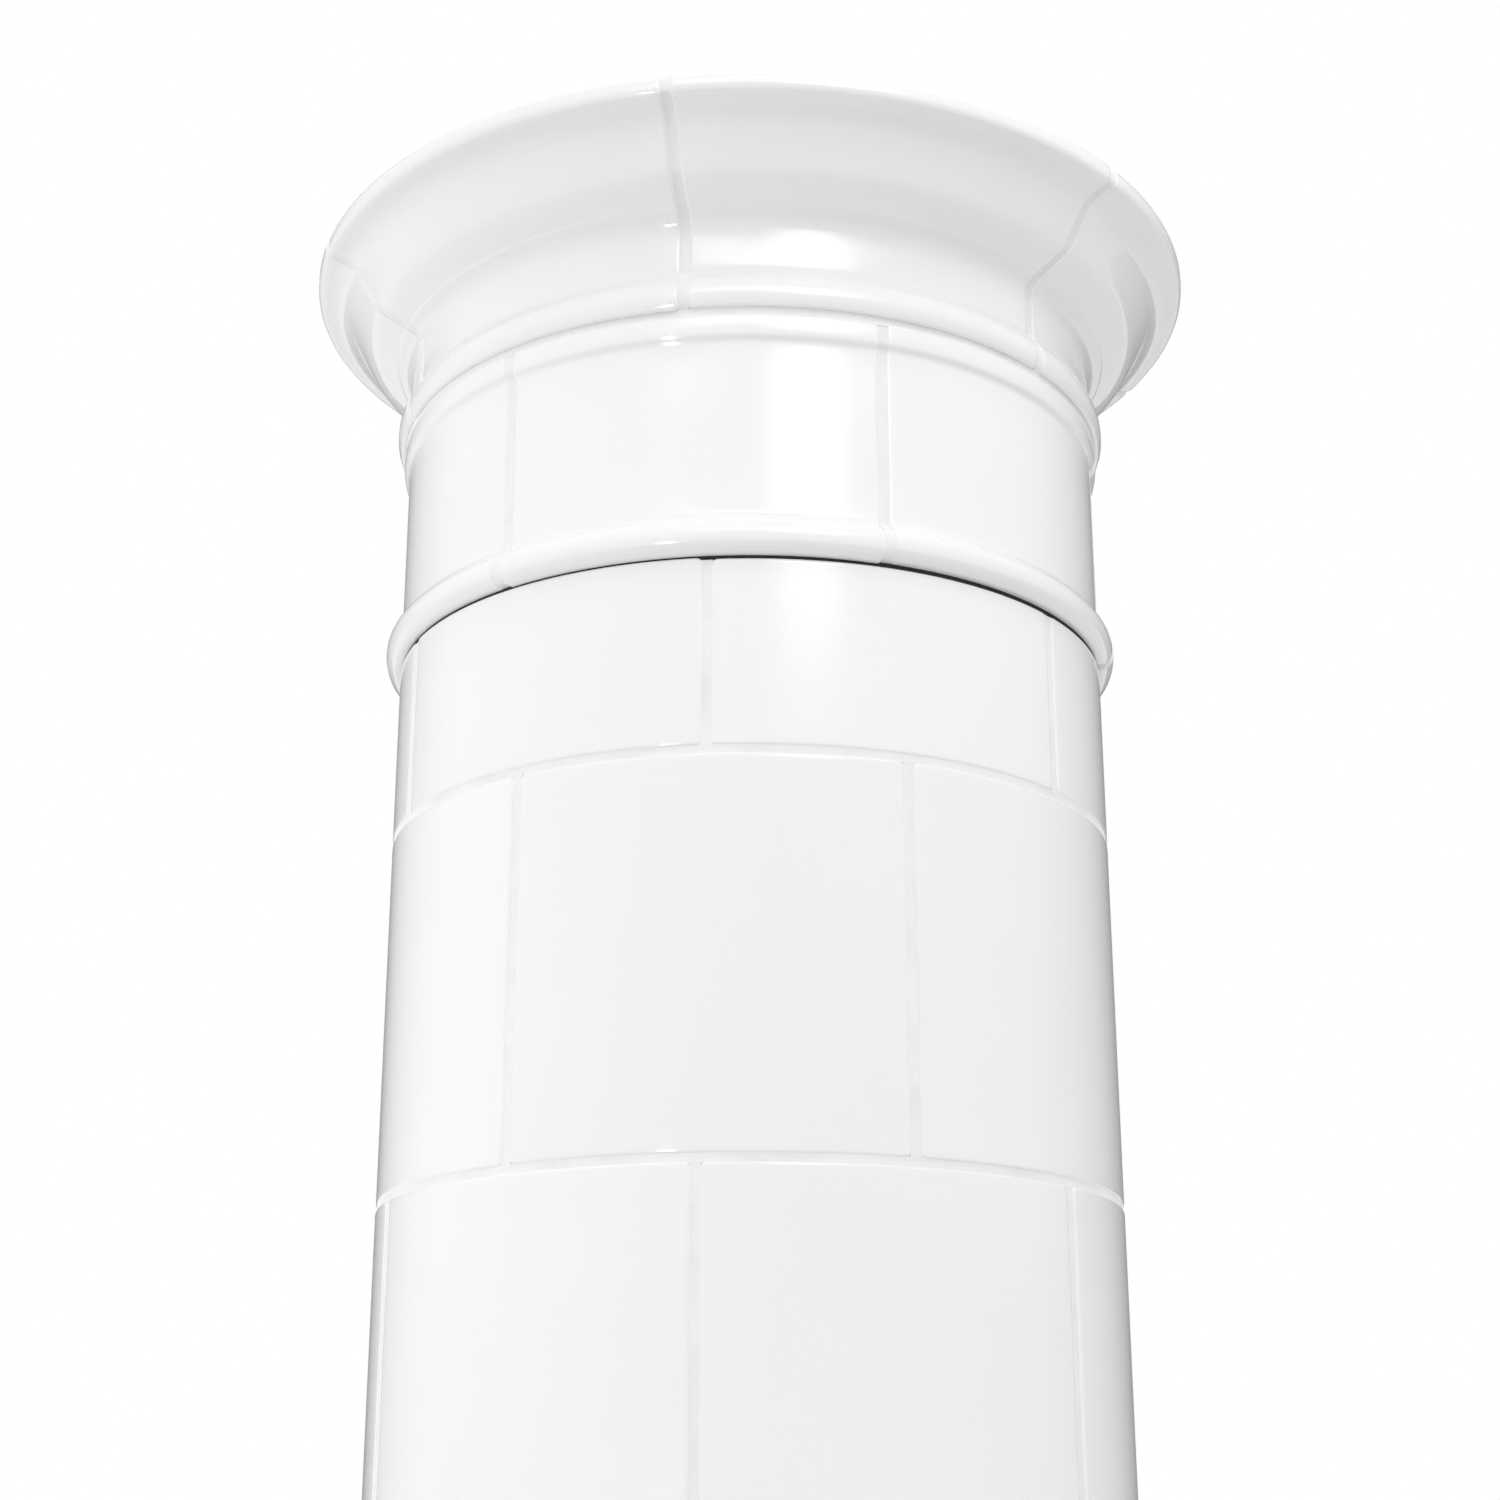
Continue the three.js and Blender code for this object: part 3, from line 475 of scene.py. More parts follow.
# The point at s on the line through points, whose places along it are given.
def pointAt(places, points, s):
    i = min(max(bisect.bisect(places, s) - 1, 0), len(points) - 2)
    share = (s - places[i]) / (places[i + 1] - places[i])
    return [a + (b - a) * share for a, b in zip(points[i], points[i + 1])]


class FaceLine:
    def __init__(self, points):
        self.points = points
        self.run = [0]
        for p, q in zip(points, points[1:]):
            self.run.append(self.run[-1] + math.dist(p, q))
        self.length = self.run[-1]

    def at(self, s):
        return pointAt(self.run, self.points, s)

    def heading(self, s):
        (r0, z0), (r1, z1) = self.at(max(s - 0.8, 0)), self.at(min(s + 0.8, self.length))
        return math.atan2(z1 - z0, r1 - r0)

    # Where the rows of faces lie: close together at the rims and where the line turns.
    def rows(self, rims, turn=5, longest=24):
        places, s, last = list(rims), rims[-1], self.heading(rims[-1])
        while s < self.length - rims[-1] - 1:
            s += 0.5
            heading = self.heading(s)
            if abs(heading - last) > math.radians(turn) or s - places[-1] > longest:
                places.append(s)
                last = heading
        return places + [self.length - d for d in reversed(rims)]


# Glazed tiles.

tileShape = {
    "radius": 300, "depth": 55, "faceThickness": 14, "rumpRim": 12, "edgeRounding": 2.6,
    "cornerRounding": 5, "sideJoint": 6.5, "bedAbove": 2, "bedBelow": 3.2, "unevenness": 0.35,
    "sit": 0, "footRim": True, "headRim": True, "hollow": False, "back": None,
}
rimTurns = [0, 22.5, 45, 67.5, 90]
columnWidth = 10.5


def glazedTile(name, line, azimuths, nodes, **kind):
    shape = {**tileShape, **kind}
    rounding, corner = shape["edgeRounding"], shape["cornerRounding"]
    rims = [rounding * (1 - math.cos(math.radians(t))) for t in rimTurns]
    rims += [corner, shape["rumpRim"], shape["rumpRim"] + 1.5]
    rows = line.rows(rims)
    joint = shape["sideJoint"] / 2
    radius = shape["radius"]
    width = math.radians(azimuths[1] - azimuths[0]) * radius - 2 * joint
    count = max(2, round((width - 2 * rims[-1]) / columnWidth))
    columns = list(rims)
    columns += [rims[-1] + (width - 2 * rims[-1]) * i / count for i in range(1, count)]
    columns += [width - d for d in reversed(rims)]
    # No two tiles stand quite alike: each is set back and turned by a hair.
    back = -chance.uniform(0, shape["unevenness"])
    lean = chance.uniform(-0.5, 0.5) * shape["unevenness"]
    tone = chance.random()

    def azimuthAt(place, r):
        inner = rims[-1]
        if place <= inner:
            return azimuths[0] + math.degrees((joint + place) / r)
        if place >= width - inner:
            return azimuths[1] - math.degrees((joint + width - place) / r)
        share, edge = (place - inner) / (width - 2 * inner), math.degrees((joint + inner) / r)
        return azimuths[0] + edge + (azimuths[1] - azimuths[0] - 2 * edge) * share

    front, rear = [], []
    for s in rows:
        for place in columns:
            across = min(place, width - place)
            ends = [s] * shape["footRim"] + [line.length - s] * shape["headRim"]
            edge = min([across, *ends])
            # Round the corners: squares about the corner become arcs.
            nearEnd = min(ends) if ends else corner
            newAcross, newAlong = across, s
            if across < corner and nearEnd < corner:
                p, q = corner - across, corner - nearEnd
                share = max(p, q) / math.hypot(p, q)
                newAcross = corner - p * share
                moved = corner - q * share
                newAlong = moved if nearEnd == s and shape["footRim"] else line.length - moved
            where = newAcross if place < width / 2 else width - newAcross
            r, z = line.at(newAlong)
            heading = line.heading(newAlong)
            drop = 0
            if edge < rounding:
                drop = rounding - math.sqrt(max(0, rounding**2 - (rounding - edge) ** 2))
            azimuth = azimuthAt(where, r)
            sway = back + lean * (2 * place / width - 1)
            height = z + shape["sit"] + drop * math.cos(heading)
            front.append(polar(r + sway - drop * math.sin(heading), azimuth, height))
            thin = shape["hollow"] and edge > shape["rumpRim"] + 0.1
            inside = radius - shape["faceThickness" if thin else "depth"]
            if shape["back"]:
                inside = shape["back"](z)
            rear.append(polar(inside, azimuth, z))
    shape = (front + rear, layerFaces(len(columns), len(rows)))
    piece = makePiece(name, [shape], glaze, nodes=nodes)
    piece.data.attributes.new("tileTone", "FLOAT", "POINT")
    piece.data.attributes["tileTone"].data.foreach_set("value", [tone] * len(piece.data.vertices))
    return piece


def wallLine(foot, head):
    radius = tileShape["radius"]
    return FaceLine([(radius, foot), (radius, head)])


# Pointing: upright strips between tiles and rings between courses, a few millimetres deep.
pointingShape = {"recess": 1.1, "hollow": 0.45, "depth": 22, "lap": 1.2}


def uprightPointing(line, azimuth):
    sunk, width = pointingShape["recess"], tileShape["sideJoint"] + 2 * pointingShape["lap"]
    points = []
    rows = line.rows([0, 1], 6, 30)
    for s in rows:
        r, z = line.at(s)
        heading = line.heading(s)
        for across, more in ((-0.5, 0), (0, pointingShape["hollow"]), (0.5, 0)):
            deep = sunk + more
            outer = r - deep * math.sin(heading)
            turn = math.degrees((across * width) / r)
            points.append(polar(outer, azimuth + turn, z + deep * math.cos(heading)))
        for across in (0.5, -0.5):
            turn = math.degrees(across * width / r)
            points.append(polar(r - pointingShape["depth"], azimuth + turn, z))
    return points, ringFaces(len(rows), 5)


def bedPointing(low, high, radius=tileShape["radius"], spans=((0, 360),)):
    shapes = []
    for start, end in spans:
        whole, steps = end - start >= 360, round((end - start) / 2.5)
        outer, inner = radius - pointingShape["recess"], radius - pointingShape["depth"]
        hollow = (outer - pointingShape["hollow"], (low + high) / 2)
        section = [(inner, low), (outer, low), hollow, (outer, high), (inner, high)]
        turns = [start + (end - start) * i / steps for i in range(steps if whole else steps + 1)]
        points = [polar(r, a, z) for a in turns for r, z in section]
        shapes.append((points, ringFaces(len(turns), len(section), joined=whole)))
    return shapes


def bedUnder(height, spans=((0, 360),)):
    low = height - tileShape["bedBelow"] - pointingShape["lap"]
    return bedPointing(low, height + tileShape["bedAbove"] + pointingShape["lap"], spans=spans)


courses = {"plinthTop": 280, "rowHeight": 300, "openingFoot": 430, "openingEdge": 30}
# How far each joint stands off its place, in degrees. The others are a little off by chance.
jointShifts = {
    "row_4": {0: -0.75, 1: -1.1, 5: -1},
    "row_5": {0: 0.7, 1: -0.3},
    "half_row": {0: 0.36, 1: -0.85, 5: 1},
    "frieze": {0: 0.5, 1: -0.1},
    "crown": {0: 0, 1: 0, 5: 0},
}


def jointPlaces(course, first):
    known = jointShifts.get(course, {})
    wander = [chance.uniform(-0.4, 0.4) for i in range(6)]
    return [first + 60 * i + known.get(i, wander[i]) for i in range(6)]


# The two joints that a tile stands between.
def between(places, i):
    return places[i], places[(i + 1) % 6] + (360 if i == 5 else 0)


def courseFoot(row):
    return courses["plinthTop"] + (row - 1) * courses["rowHeight"]


# The plinth's face, from the floor to the first row.
plinthFace = [
    (318, 0.4), (318, 60), (318, 120), (318, 170), (318, 186), (317.4, 193), (315.4, 198),
    (311.8, 202.6), (309.6, 206.5), (309.4, 210), (311.2, 213.6), (313.2, 218.5), (313.8, 225),
    (312.8, 232), (310.4, 239), (307, 245.5), (303.8, 251.5), (301.4, 258), (300.3, 265),
    (300, 271), (300, 276.8),
]
plinthLine = FaceLine(smoothLine(plinthFace))
places = jointPlaces("plinth", 0)
for i in range(6):
    glazedTile(f"glazed_plinth_{i + 1}", plinthLine, between(places, i), ["plinth_ring"], footRim=False)
joints = [uprightPointing(plinthLine, place) for place in places]
makePiece("plinth_joints", joints + bedUnder(courses["plinthTop"]), pointing)
print("plinth laid")


# The plain rows. Joints of one row stand over the middles of the tiles below.
def layRow(row):
    foot, head = courseFoot(row), courseFoot(row + 1)
    line = wallLine(foot + tileShape["bedAbove"], head - tileShape["bedBelow"])
    places = jointPlaces(f"row_{row}", -30 if row % 2 else 0)
    opening = courses["openingEdge"]
    if row == 1:
        places[:2] = -opening, opening
    joints, tiles = [], []
    for i, place in enumerate(places):
        span, own, jointHead = between(places, i), line, head
        if row == 1 and i == 0:
            own = wallLine(foot + tileShape["bedAbove"], courses["openingFoot"])
        if row == 1 and i in (0, 1):
            jointHead = courses["openingFoot"]
        if row == 2 and i == 0:
            span = (opening, places[1])
        if row == 2 and i == 5:
            span = (places[5], 360 - opening)
        nodes = [f"upper_tile_{i + 1}"] if row == 5 else [f"tile_row_{row}"]
        tiles.append(glazedTile(f"glazed_row_{row}_tile_{i + 1}", own, span, nodes, hollow=row == 5))
        if not (row == 2 and i == 0):
            joints.append(uprightPointing(wallLine(foot, jointHead), place))
    gap = ((opening, 360 - opening),) if row == 1 else ((0, 360),)
    makePiece(f"row_{row}_joints", joints + bedUnder(head, gap), pointing)
    return tiles


rows = {row: layRow(row) for row in range(1, 6)}

holes = {"hatchAzimuth": 120, "hatchHeight": 985, "rodHeight": 934.6, "flueHeight": 1630}


def bored(tile, radius, azimuth, height, sides=64):
    pierced(tile, [peg(radius, 235, 310, azimuth, holes[height], sides)])


bored(rows[3][2], 52, holes["hatchAzimuth"], "hatchHeight")
bored(rows[3][4], 52, -holes["hatchAzimuth"], "hatchHeight")
bored(rows[3][0], 6.5, 0, "rodHeight", 32)
bored(rows[5][3], 76.5, 180, "flueHeight")
# The tiles beside the fire doors are cut back square, clear of the sleeve.
wayIn = {"box": (-145.5, 145.5, 434, 884, 2), "depths": (-160, -320)}
outline = roundedBox(*wayIn["box"], 3)
wayInShape = ([(x, y, z) for y in wayIn["depths"] for x, z in outline], ringFaces(2, len(outline)))
for tile in (rows[1][1], rows[1][5], rows[2][0], rows[2][5]):
    pierced(tile, [wayInShape])
print("rows one to five laid")

# The half row. Its head stays open: a thin shadow under the frieze, packed with fibre further in. The
# packing's near-black colour is painted shadow, so that the open joint reads dark.
halfRow = {
    "heads": (1930.6, 1930.9, 1931.2, 1931, 1931.2, 1931.7), "jointHead": 1929.5,
    "packing": (1930, 1933.8), "packingRadii": (262, 298.3),
}
halfFoot = courseFoot(6)
places = jointPlaces("half_row", 0)
for i, head in enumerate(halfRow["heads"]):
    line = wallLine(halfFoot + tileShape["bedAbove"], head)
    node = f"half_tile_{i + 1}"
    glazedTile("glazed_" + node, line, between(places, i), [node], hollow=True)
line = wallLine(halfFoot, halfRow["jointHead"])
makePiece("half_row_joints", [uprightPointing(line, place) for place in places], pointing)
(low, high), (inner, outer) = halfRow["packing"], halfRow["packingRadii"]
packing = turnedUp([(inner, low), (outer, low), (outer, high), (inner, high)], sides=144, joined=True)
makePiece("packing_ring_shadow_black", [packing], shadowBlackPacking, nodes=["expansion_strip"])

crownShape = {
    "turn": -3.2, "bed": (2132.5, 2141), "bedRadius": 305.2, "cover": (2249.5, 2263),
}
friezeFace = [
    (301.6, 1933.2), (305, 1933.8), (308.4, 1935.9), (311.2, 1940), (312.5, 1946.2), (311.9, 1952.2),
    (309.2, 1957.4), (305.2, 1961), (302.2, 1963.4), (300.7, 1965.8), (300.1, 1969), (300, 1974),
    (300, 1990), (300, 2030), (300, 2070), (300, 2098), (300, 2106), (300.1, 2110), (300.5, 2112.2),
    (301.4, 2114), (302.9, 2115.4), (304.1, 2117.4), (304.7, 2120.6), (304.9, 2125), (304.9, 2130),
    (304.5, 2135.4),
]
crownFace = [
    (304.9, 2138.2), (308.2, 2140.6), (310.3, 2145.4), (310.9, 2152), (310.2, 2158), (307.8, 2163.6),
    (304, 2168.4), (301.8, 2172), (300.8, 2177), (300.6, 2184), (300.6, 2192), (300.6, 2200),
    (300.7, 2208), (301.4, 2213.4), (303.4, 2218.2), (307, 2221.8), (311.6, 2224.2), (314.2, 2225.3),
    (315, 2226.3),
    (316.2, 2226.9), (321, 2229.1), (331, 2233.4), (339.6, 2239.4), (347, 2249.4), (354.6, 2262.6),
    (361.2, 2271.8), (368.8, 2277.6), (376, 2280.4), (381.6, 2281.5), (385.2, 2283), (387, 2286.2),
    (387.3, 2290.6), (387, 2294.8), (384.8, 2298.4), (380.6, 2299.7), (375, 2299.8),
]
# The crown's inner side, as (height, radius).
crownBack = [
    (2137, 286), (2235, 286), (2248.9, 300), (2249, 326), (2272, 341), (2288, 352), (2296, 364),
    (2300.1, 369),
]


def insideCrown(height):
    return pointAt([h for h, _ in crownBack], crownBack, height)[1]


friezeLine, crownLine = FaceLine(smoothLine(friezeFace)), FaceLine(smoothLine(crownFace))
# How much each tile sits above or below its neighbours.
friezeSits = (-0.5, 0.7, 0, 0.3, -0.3, 0.2)
crownSits = (0, -0.4, -0.2, -0.6, -0.1, -1.3)
friezePlaces = jointPlaces("frieze", crownShape["turn"] - 30)
crownPlaces = jointPlaces("crown", crownShape["turn"])
softEdges = {"edgeRounding": 3.2, "cornerRounding": 4.2}
for i in range(6):
    glazedTile(
        f"glazed_frieze_{i + 1}", friezeLine, between(friezePlaces, i), [f"frieze_tile_{i + 1}"],
        footRim=False, depth=50, hollow=True, sit=friezeSits[i], **softEdges,
    )
    glazedTile(
        f"glazed_crown_{i + 1}", crownLine, between(crownPlaces, i), [f"crown_tile_{i + 1}"],
        headRim=False, back=insideCrown, sit=crownSits[i], **softEdges,
    )
friezeJoints = [uprightPointing(friezeLine, place) for place in friezePlaces]
crownJoints = [uprightPointing(crownLine, place) for place in crownPlaces]
friezeJoints += bedPointing(*crownShape["bed"], crownShape["bedRadius"])
makePiece("frieze_joints", friezeJoints, pointing)
makePiece("crown_joints", crownJoints, pointing)
foot, top = crownShape["cover"]
cover = [(0, foot), (318.6, foot), (318.8, top - 5), (314, top), (160, top + 0.2), (0, top + 0.2)]
makePiece("crown_dish_cover", [turnedUp(cover, sides=96)], mortar, nodes=["crown_cover"])
print("half row, frieze and crown set")

# The fire doors.

doorShape = {
    "sides": (0.75, 139), "ends": (443, 867), "faceRadius": 303.2, "backRadius": 300.2,
    "knobAzimuth": 5, "knobHeight": 655, "hinges": (797, 513), "slots": (483, 497, 511),
    "slotHalf": 23.5,
}
shieldShape = {
    "sides": (8, 130), "ends": (452, 858), "rim": 0.4, "backRadius": 297.9, "faceRadius": 299.9,
    "slotHalf": 25,
}
shutterShape = {
    "azimuth": 15, "halfAngle": 6, "middle": 507, "halfHeight": 30, "travel": 7, "studHeight": 529,
}
strapShape = {"halfHeight": 9, "faceRadius": 308.4, "studAcross": 122.5, "studUp": 4.5}
hingeX, hingeY = 146, -273.35
hands = ((-1, "left"), (1, "right"))


# A plate bent round the stove with a relief on its face. side is -1 for the left-hand one, and
# widths are measured from the middle of the doors.
def reliefPlate(side, xs, zs, backRadius, face):
    points = []
    for layer in range(2):
        for z in zs:
            for x in xs:
                radius = face(x, z) if layer else backRadius
                points.append(Vector((side * x, -math.sqrt(radius**2 - x**2), z)))
    return points, layerFaces(len(xs), len(zs), rearFirst=True)


def stations(low, high, marks, step):
    places = sorted({low, high, *[m for m in marks if low < m < high]})
    found = []
    for a, b in zip(places, places[1:]):
        count = max(1, math.ceil((b - a) / step))
        found += [a + (b - a) * i / count for i in range(count)]
    return [*found, high]


panel = {"sides": (48, 122), "ends": (556, 848)}
# Where a leaf's relief turns, measured in from its edges and from the panel's.
edgeMarks = {
    "meeting": (0.3, 0.9, 10.2, 10.85, 11.45, 12.05, 12.65),
    "hinged": (0.3, 0.9, 10.2, 10.8, 11.4, 12, 12.6),
    "ends": (0.3, 0.9, 10.2, 11, 11.8, 12.6),
}
panelMarks = (0, 1.2, 2.4, 3.6, 5.4, 9, 12, 15, 17)


def leafStations(way, lowMarks, highMarks, step):
    (low, high), (panelLow, panelHigh) = doorShape[way], panel[way]
    marks = [low + d for d in lowMarks] + [high - d for d in highMarks]
    marks += [panelLow + d for d in panelMarks] + [panelHigh - d for d in panelMarks]
    return stations(low, high, marks, step)


def within(shape, x, z):
    (left, right), (foot, head) = shape["sides"], shape["ends"]
    return min(x - left, right - x, z - foot, head - z)


def leafFace(x, z):
    edge = within(doorShape, x, z)
    radius = doorShape["faceRadius"] + 2 * (1 - easing(edge, 10.2, 12.6))
    radius -= 0.7 * (1 - easing(edge, 0, 0.9))
    # The pressed panel above the draught slots: a bead round a low cushion.
    inside = within(panel, x, z)
    bead = 1.5 * easing(inside, 0, 2.4) * (1 - easing(inside, 3, 5.4))
    return radius + bead + 1.3 * easing(inside, 9, 17)


def slotCutters(side, levels, half=doorShape["slotHalf"]):
    outline = roundedBox(-half, half, -3, 3, 2.9)
    azimuth = side * shutterShape["azimuth"]
    return [wrapped([(outline, 290), (outline, 312)], azimuth, z) for z in levels]


def spindle(side, radius, near, far):
    return peg(radius, near, far, side * doorShape["knobAzimuth"], doorShape["knobHeight"])


def rivet(azimuth, height, radius, seat, tall):
    dome = [(0, seat - 0.6), (radius, seat - 0.6), (radius, seat + 0.25 * tall)]
    dome += [(radius * math.cos(t), seat + tall * (0.25 + 0.75 * math.sin(t))) for t in (0.4, 0.8, 1.2)]
    return turnedOut([*dome, (0, seat + tall)], azimuth, height, 20)


knobProfile = [
    (0, 0), (10.2, 0), (10.8, 0.5), (10.8, 1.9), (10.2, 2.5), (8.4, 3), (6.2, 4), (5.1, 6),
    (5, 9), (5.6, 12), (8.6, 15), (12, 17.6), (13.8, 20.6), (14, 23.6), (13.2, 27), (11.2, 30),
    (8, 32.4), (4, 33.8), (0, 34.2),
]


def knobShape(seat, azimuth, height, scale=1.0):
    profile = [(r * scale, seat + d * scale) for r, d in smoothLine(knobProfile[4:], 2)]
    base = [(r * scale, seat + d * scale) for r, d in knobProfile[:4]]
    profile[-1] = (0, profile[-1][1])
    return turnedOut([*base, *profile], azimuth, height)


def barrel(side, foot, head, radius=5.0, bore=2.9):
    profile = [
        (bore, foot), (radius - 0.5, foot), (radius, foot + 0.5),
        (radius, head - 0.5), (radius - 0.5, head), (bore, head),
    ]
    return turnedUp(profile, side * hingeX, hingeY, 32, joined=True)


def bentPlate(side, x0, x1, z0, z1, inner, outer, corner=1.5, chamfer=0.5):
    left, right = sorted((side * x0, side * x1))
    outline = roundedBox(left, right, z0, z1, corner, 6)
    face = roundedBox(left + chamfer, right - chamfer, z0 + chamfer, z1 - chamfer, corner - chamfer, 6)
    return wrapped([(outline, inner), (outline, outer - chamfer), (face, outer)], 0, 0)


for side, hand in hands:
    body = f"{hand}_leaf"
    xs = leafStations("sides", edgeMarks["meeting"], edgeMarks["hinged"], 8)
    zs = leafStations("ends", edgeMarks["ends"], edgeMarks["ends"], 28)
    plate = reliefPlate(side, xs, zs, doorShape["backRadius"], leafFace)
    leaf = makePiece(f"{hand}_brass_leaf", [plate], brass, body, nodes=[f"{hand}_door"])
    spindleHole = spindle(side, 4.6, 285, 312)
    pierced(leaf, [*slotCutters(side, doorShape["slots"]), spindleHole])

    # Guides for the shutter, hinge straps and barrels, all on the leaf.
    fittings = []
    for edge, away in ((9, -1), (21, 1)):
        near, far, lip = edge + away * 0.1, edge + away * 1.05, edge - away * 0.28
        section = [(near, 302.6), (near, 306.1), (lip, 306.1), (lip, 307.6), (far, 307.6), (far, 302.6)]
        points = [polar(r, side * a, z) for z in (468, 537) for a, r in section]
        fittings.append((points, ringFaces(2, len(section))))
    makePiece(f"{hand}_shutter_guides", fittings, brass, body, bevel=0.35)
    straps, studs = [], []
    face = strapShape["faceRadius"]
    studAzimuth = side * math.degrees(math.asin(strapShape["studAcross"] / face))
    for middle in doorShape["hinges"]:
        foot, head = middle - strapShape["halfHeight"], middle + strapShape["halfHeight"]
        straps.append(bentPlate(side, 125, 145, foot, head, 305.2, face))
        straps.append(bentPlate(side, 118, 131, foot, head, 302.4, face))
        straps.append(barrel(side, foot, head))
        for up in (-strapShape["studUp"], strapShape["studUp"]):
            studs.append(rivet(studAzimuth, middle + up, 2.2, 308.3, 1.1))
    makePiece(f"{hand}_hinge_straps", straps + studs, brass, body)

    (left, right), (foot, head) = shieldShape["sides"], shieldShape["ends"]
    rim = shieldShape["rim"]
    xs = stations(left, right, [left + rim, right - rim], 8)
    zs = stations(foot, head, [foot + rim, head - rim], 40)
    plate = reliefPlate(side, xs, zs, shieldShape["backRadius"], lambda x, z: shieldShape["faceRadius"])
    shield = makePiece(f"{hand}_shield_plate", [plate], iron, body, nodes=[f"{hand}_heat_shield"])
    pierced(shield, [*slotCutters(side, doorShape["slots"], shieldShape["slotHalf"]), spindleHole])

    # The draught shutter slides over the slots.
    half = tileShape["radius"] * math.sin(math.radians(shutterShape["halfAngle"]))
    tall = shutterShape["halfHeight"]
    azimuth = side * shutterShape["azimuth"]
    insets = (29, 23, 17, 11, 6, 3, 0.4)
    section = [(d, 303.6) for d in insets] + [(0, 304), (0, 305.1), (0.5, 305.6)]
    section += [(d, 305.6) for d in reversed(insets[:-1])]
    outlines = []
    for d, r in section:
        corner = max(0.4, 2.5 - d)
        outlines.append((roundedBox(-half + d, half - d, -tall + d, tall - d, corner), r))
    plate = wrapped(outlines, azimuth, shutterShape["middle"])
    nodes = [f"{hand}_draught_shutter"]
    shutter = makePiece(f"{hand}_shutter_plate", [plate], brass, f"{hand}_shutter", nodes=nodes)
    pierced(shutter, slotCutters(side, [z + shutterShape["travel"] for z in doorShape["slots"]]))
    stud = [
        (0, 304.6), (2.9, 304.6), (2.9, 305.9), (2.4, 306.6), (2.2, 309), (2.8, 310.6), (4.3, 312),
        (4.6, 313.6), (4.1, 315.4), (2.6, 316.5), (0, 316.8),
    ]
    stud = turnedOut(stud, azimuth, shutterShape["studHeight"], 28)
    makePiece(f"{hand}_shutter_stud", [stud], brass, f"{hand}_shutter")

    pin = [
        (0, 487.6), (1.8, 487.6), (2.4, 488.4), (2.4, 820.8), (3.6, 820.9), (4.4, 821.5), (4.4, 822.6),
        (3.4, 824), (1.8, 824.6), (0, 824.7),
    ]
    pin = turnedUp(pin, side * hingeX, hingeY, 24)
    makePiece(f"{hand}_pin", [pin], brass, nodes=[f"{hand}_hinge_pin"])


# The left-hand knob is fixed. The right-hand one turns the latch through its longer spindle.
def doorKnob(name, side, spindleEnd, body, node):
    seat = doorShape["faceRadius"] + 0.2
    knob = knobShape(seat, side * doorShape["knobAzimuth"], doorShape["knobHeight"])
    makePiece(name, [knob, spindle(side, 3.9, spindleEnd, 304)], brass, body, nodes=[node])


doorKnob("left_knob", -1, 300.2, "left_leaf", "left_pull_knob")
doorKnob("turning_knob", 1, 286, "latch", "latch_knob")

# The latch bar hangs from the knob's spindle, square to it.
latchShape = {"box": (-7, 7, -45, 8, 5), "depths": (288, 291.8)}
outline = roundedBox(*latchShape["box"])
out, across = outwards(doorShape["knobAzimuth"])
points, height = [], doorShape["knobHeight"]
for depth in latchShape["depths"]:
    points += [out * depth + across * u + Vector((0, 0, height + v)) for u, v in outline]
strip = (points, ringFaces(2, len(outline)))
makePiece("latch_strip", [strip], iron, "latch", nodes=["latch_bar"], bevel=0.5)

# The frame: a bent flange with a bead round the doors, and a sleeve through the tiles.
# Each loop of the flange is (half its width, foot, head, corner, radius).
flange = [
    (162, 416, 894, 5, 300.5), (162, 416, 894, 5, 303.2), (160.9, 417.1, 892.9, 4.4, 304.1),
    (158, 420, 890, 3.6, 304.4), (154.6, 423.4, 886.6, 3, 304.4), (153.8, 424.2, 885.8, 2.8, 303.7),
    (152, 426, 884, 2.4, 303.5), (150.4, 427.6, 882.4, 2.2, 303.7), (149.6, 428.4, 881.6, 2, 304.4),
    (141.4, 441, 869.4, 1.2, 304.4), (140.3, 441.9, 868.3, 1, 303.8), (140.1, 442, 868.1, 1, 300.5),
]
frameShape = {
    "sleeve": ((144, 438, 872), (134, 448, 862)), "sleeveFace": 299.4, "sleeveBack": -195,
    "sideScrews": (470, 573, 655, 737, 840), "sideScrewAcross": 157.5,
    "endScrews": (421.6, 888.4), "endScrewAzimuths": (-20, 0, 20),
}
loops = [(roundedBox(-half, half, *rest, 40), radius) for half, *rest, radius in flange]
flangeShape = wrapped(loops, 0, 0, joined=True)
sleeveLoops = []
outer, inner = frameShape["sleeve"]
for (half, foot, head), deep in ((outer, False), (outer, True), (inner, True), (inner, False)):
    for x, z in roundedBox(-half, half, foot, head, 1.5, 30):
        y = frameShape["sleeveBack"] if deep else -math.sqrt(frameShape["sleeveFace"] ** 2 - x**2)
        sleeveLoops.append(Vector((x, y, z)))
sleeveShape = (sleeveLoops, ringFaces(4, len(sleeveLoops) // 4, joined=True))
knuckles, screws = [], []
screw = {"radius": 2.9, "seat": 304.2, "tall": 1.2}
for side, hand in hands:
    for middle in doorShape["hinges"]:
        for foot in (middle - 23.4, middle + 9.4):
            knuckles.append(barrel(side, foot, foot + 14))
            knuckles.append(bentPlate(side, 141.6, 151, foot + 0.2, foot + 13.8, 302.6, 307.6, 1))
    azimuth = side * math.degrees(math.asin(frameShape["sideScrewAcross"] / 304.4))
    screws += [rivet(azimuth, z, **screw) for z in frameShape["sideScrews"]]
for azimuth in frameShape["endScrewAzimuths"]:
    screws += [rivet(azimuth, z, **screw) for z in frameShape["endScrews"]]
makePiece("brass_door_frame", [flangeShape, sleeveShape], brass, nodes=["door_frame"])
makePiece("frame_knuckles", knuckles, brass)
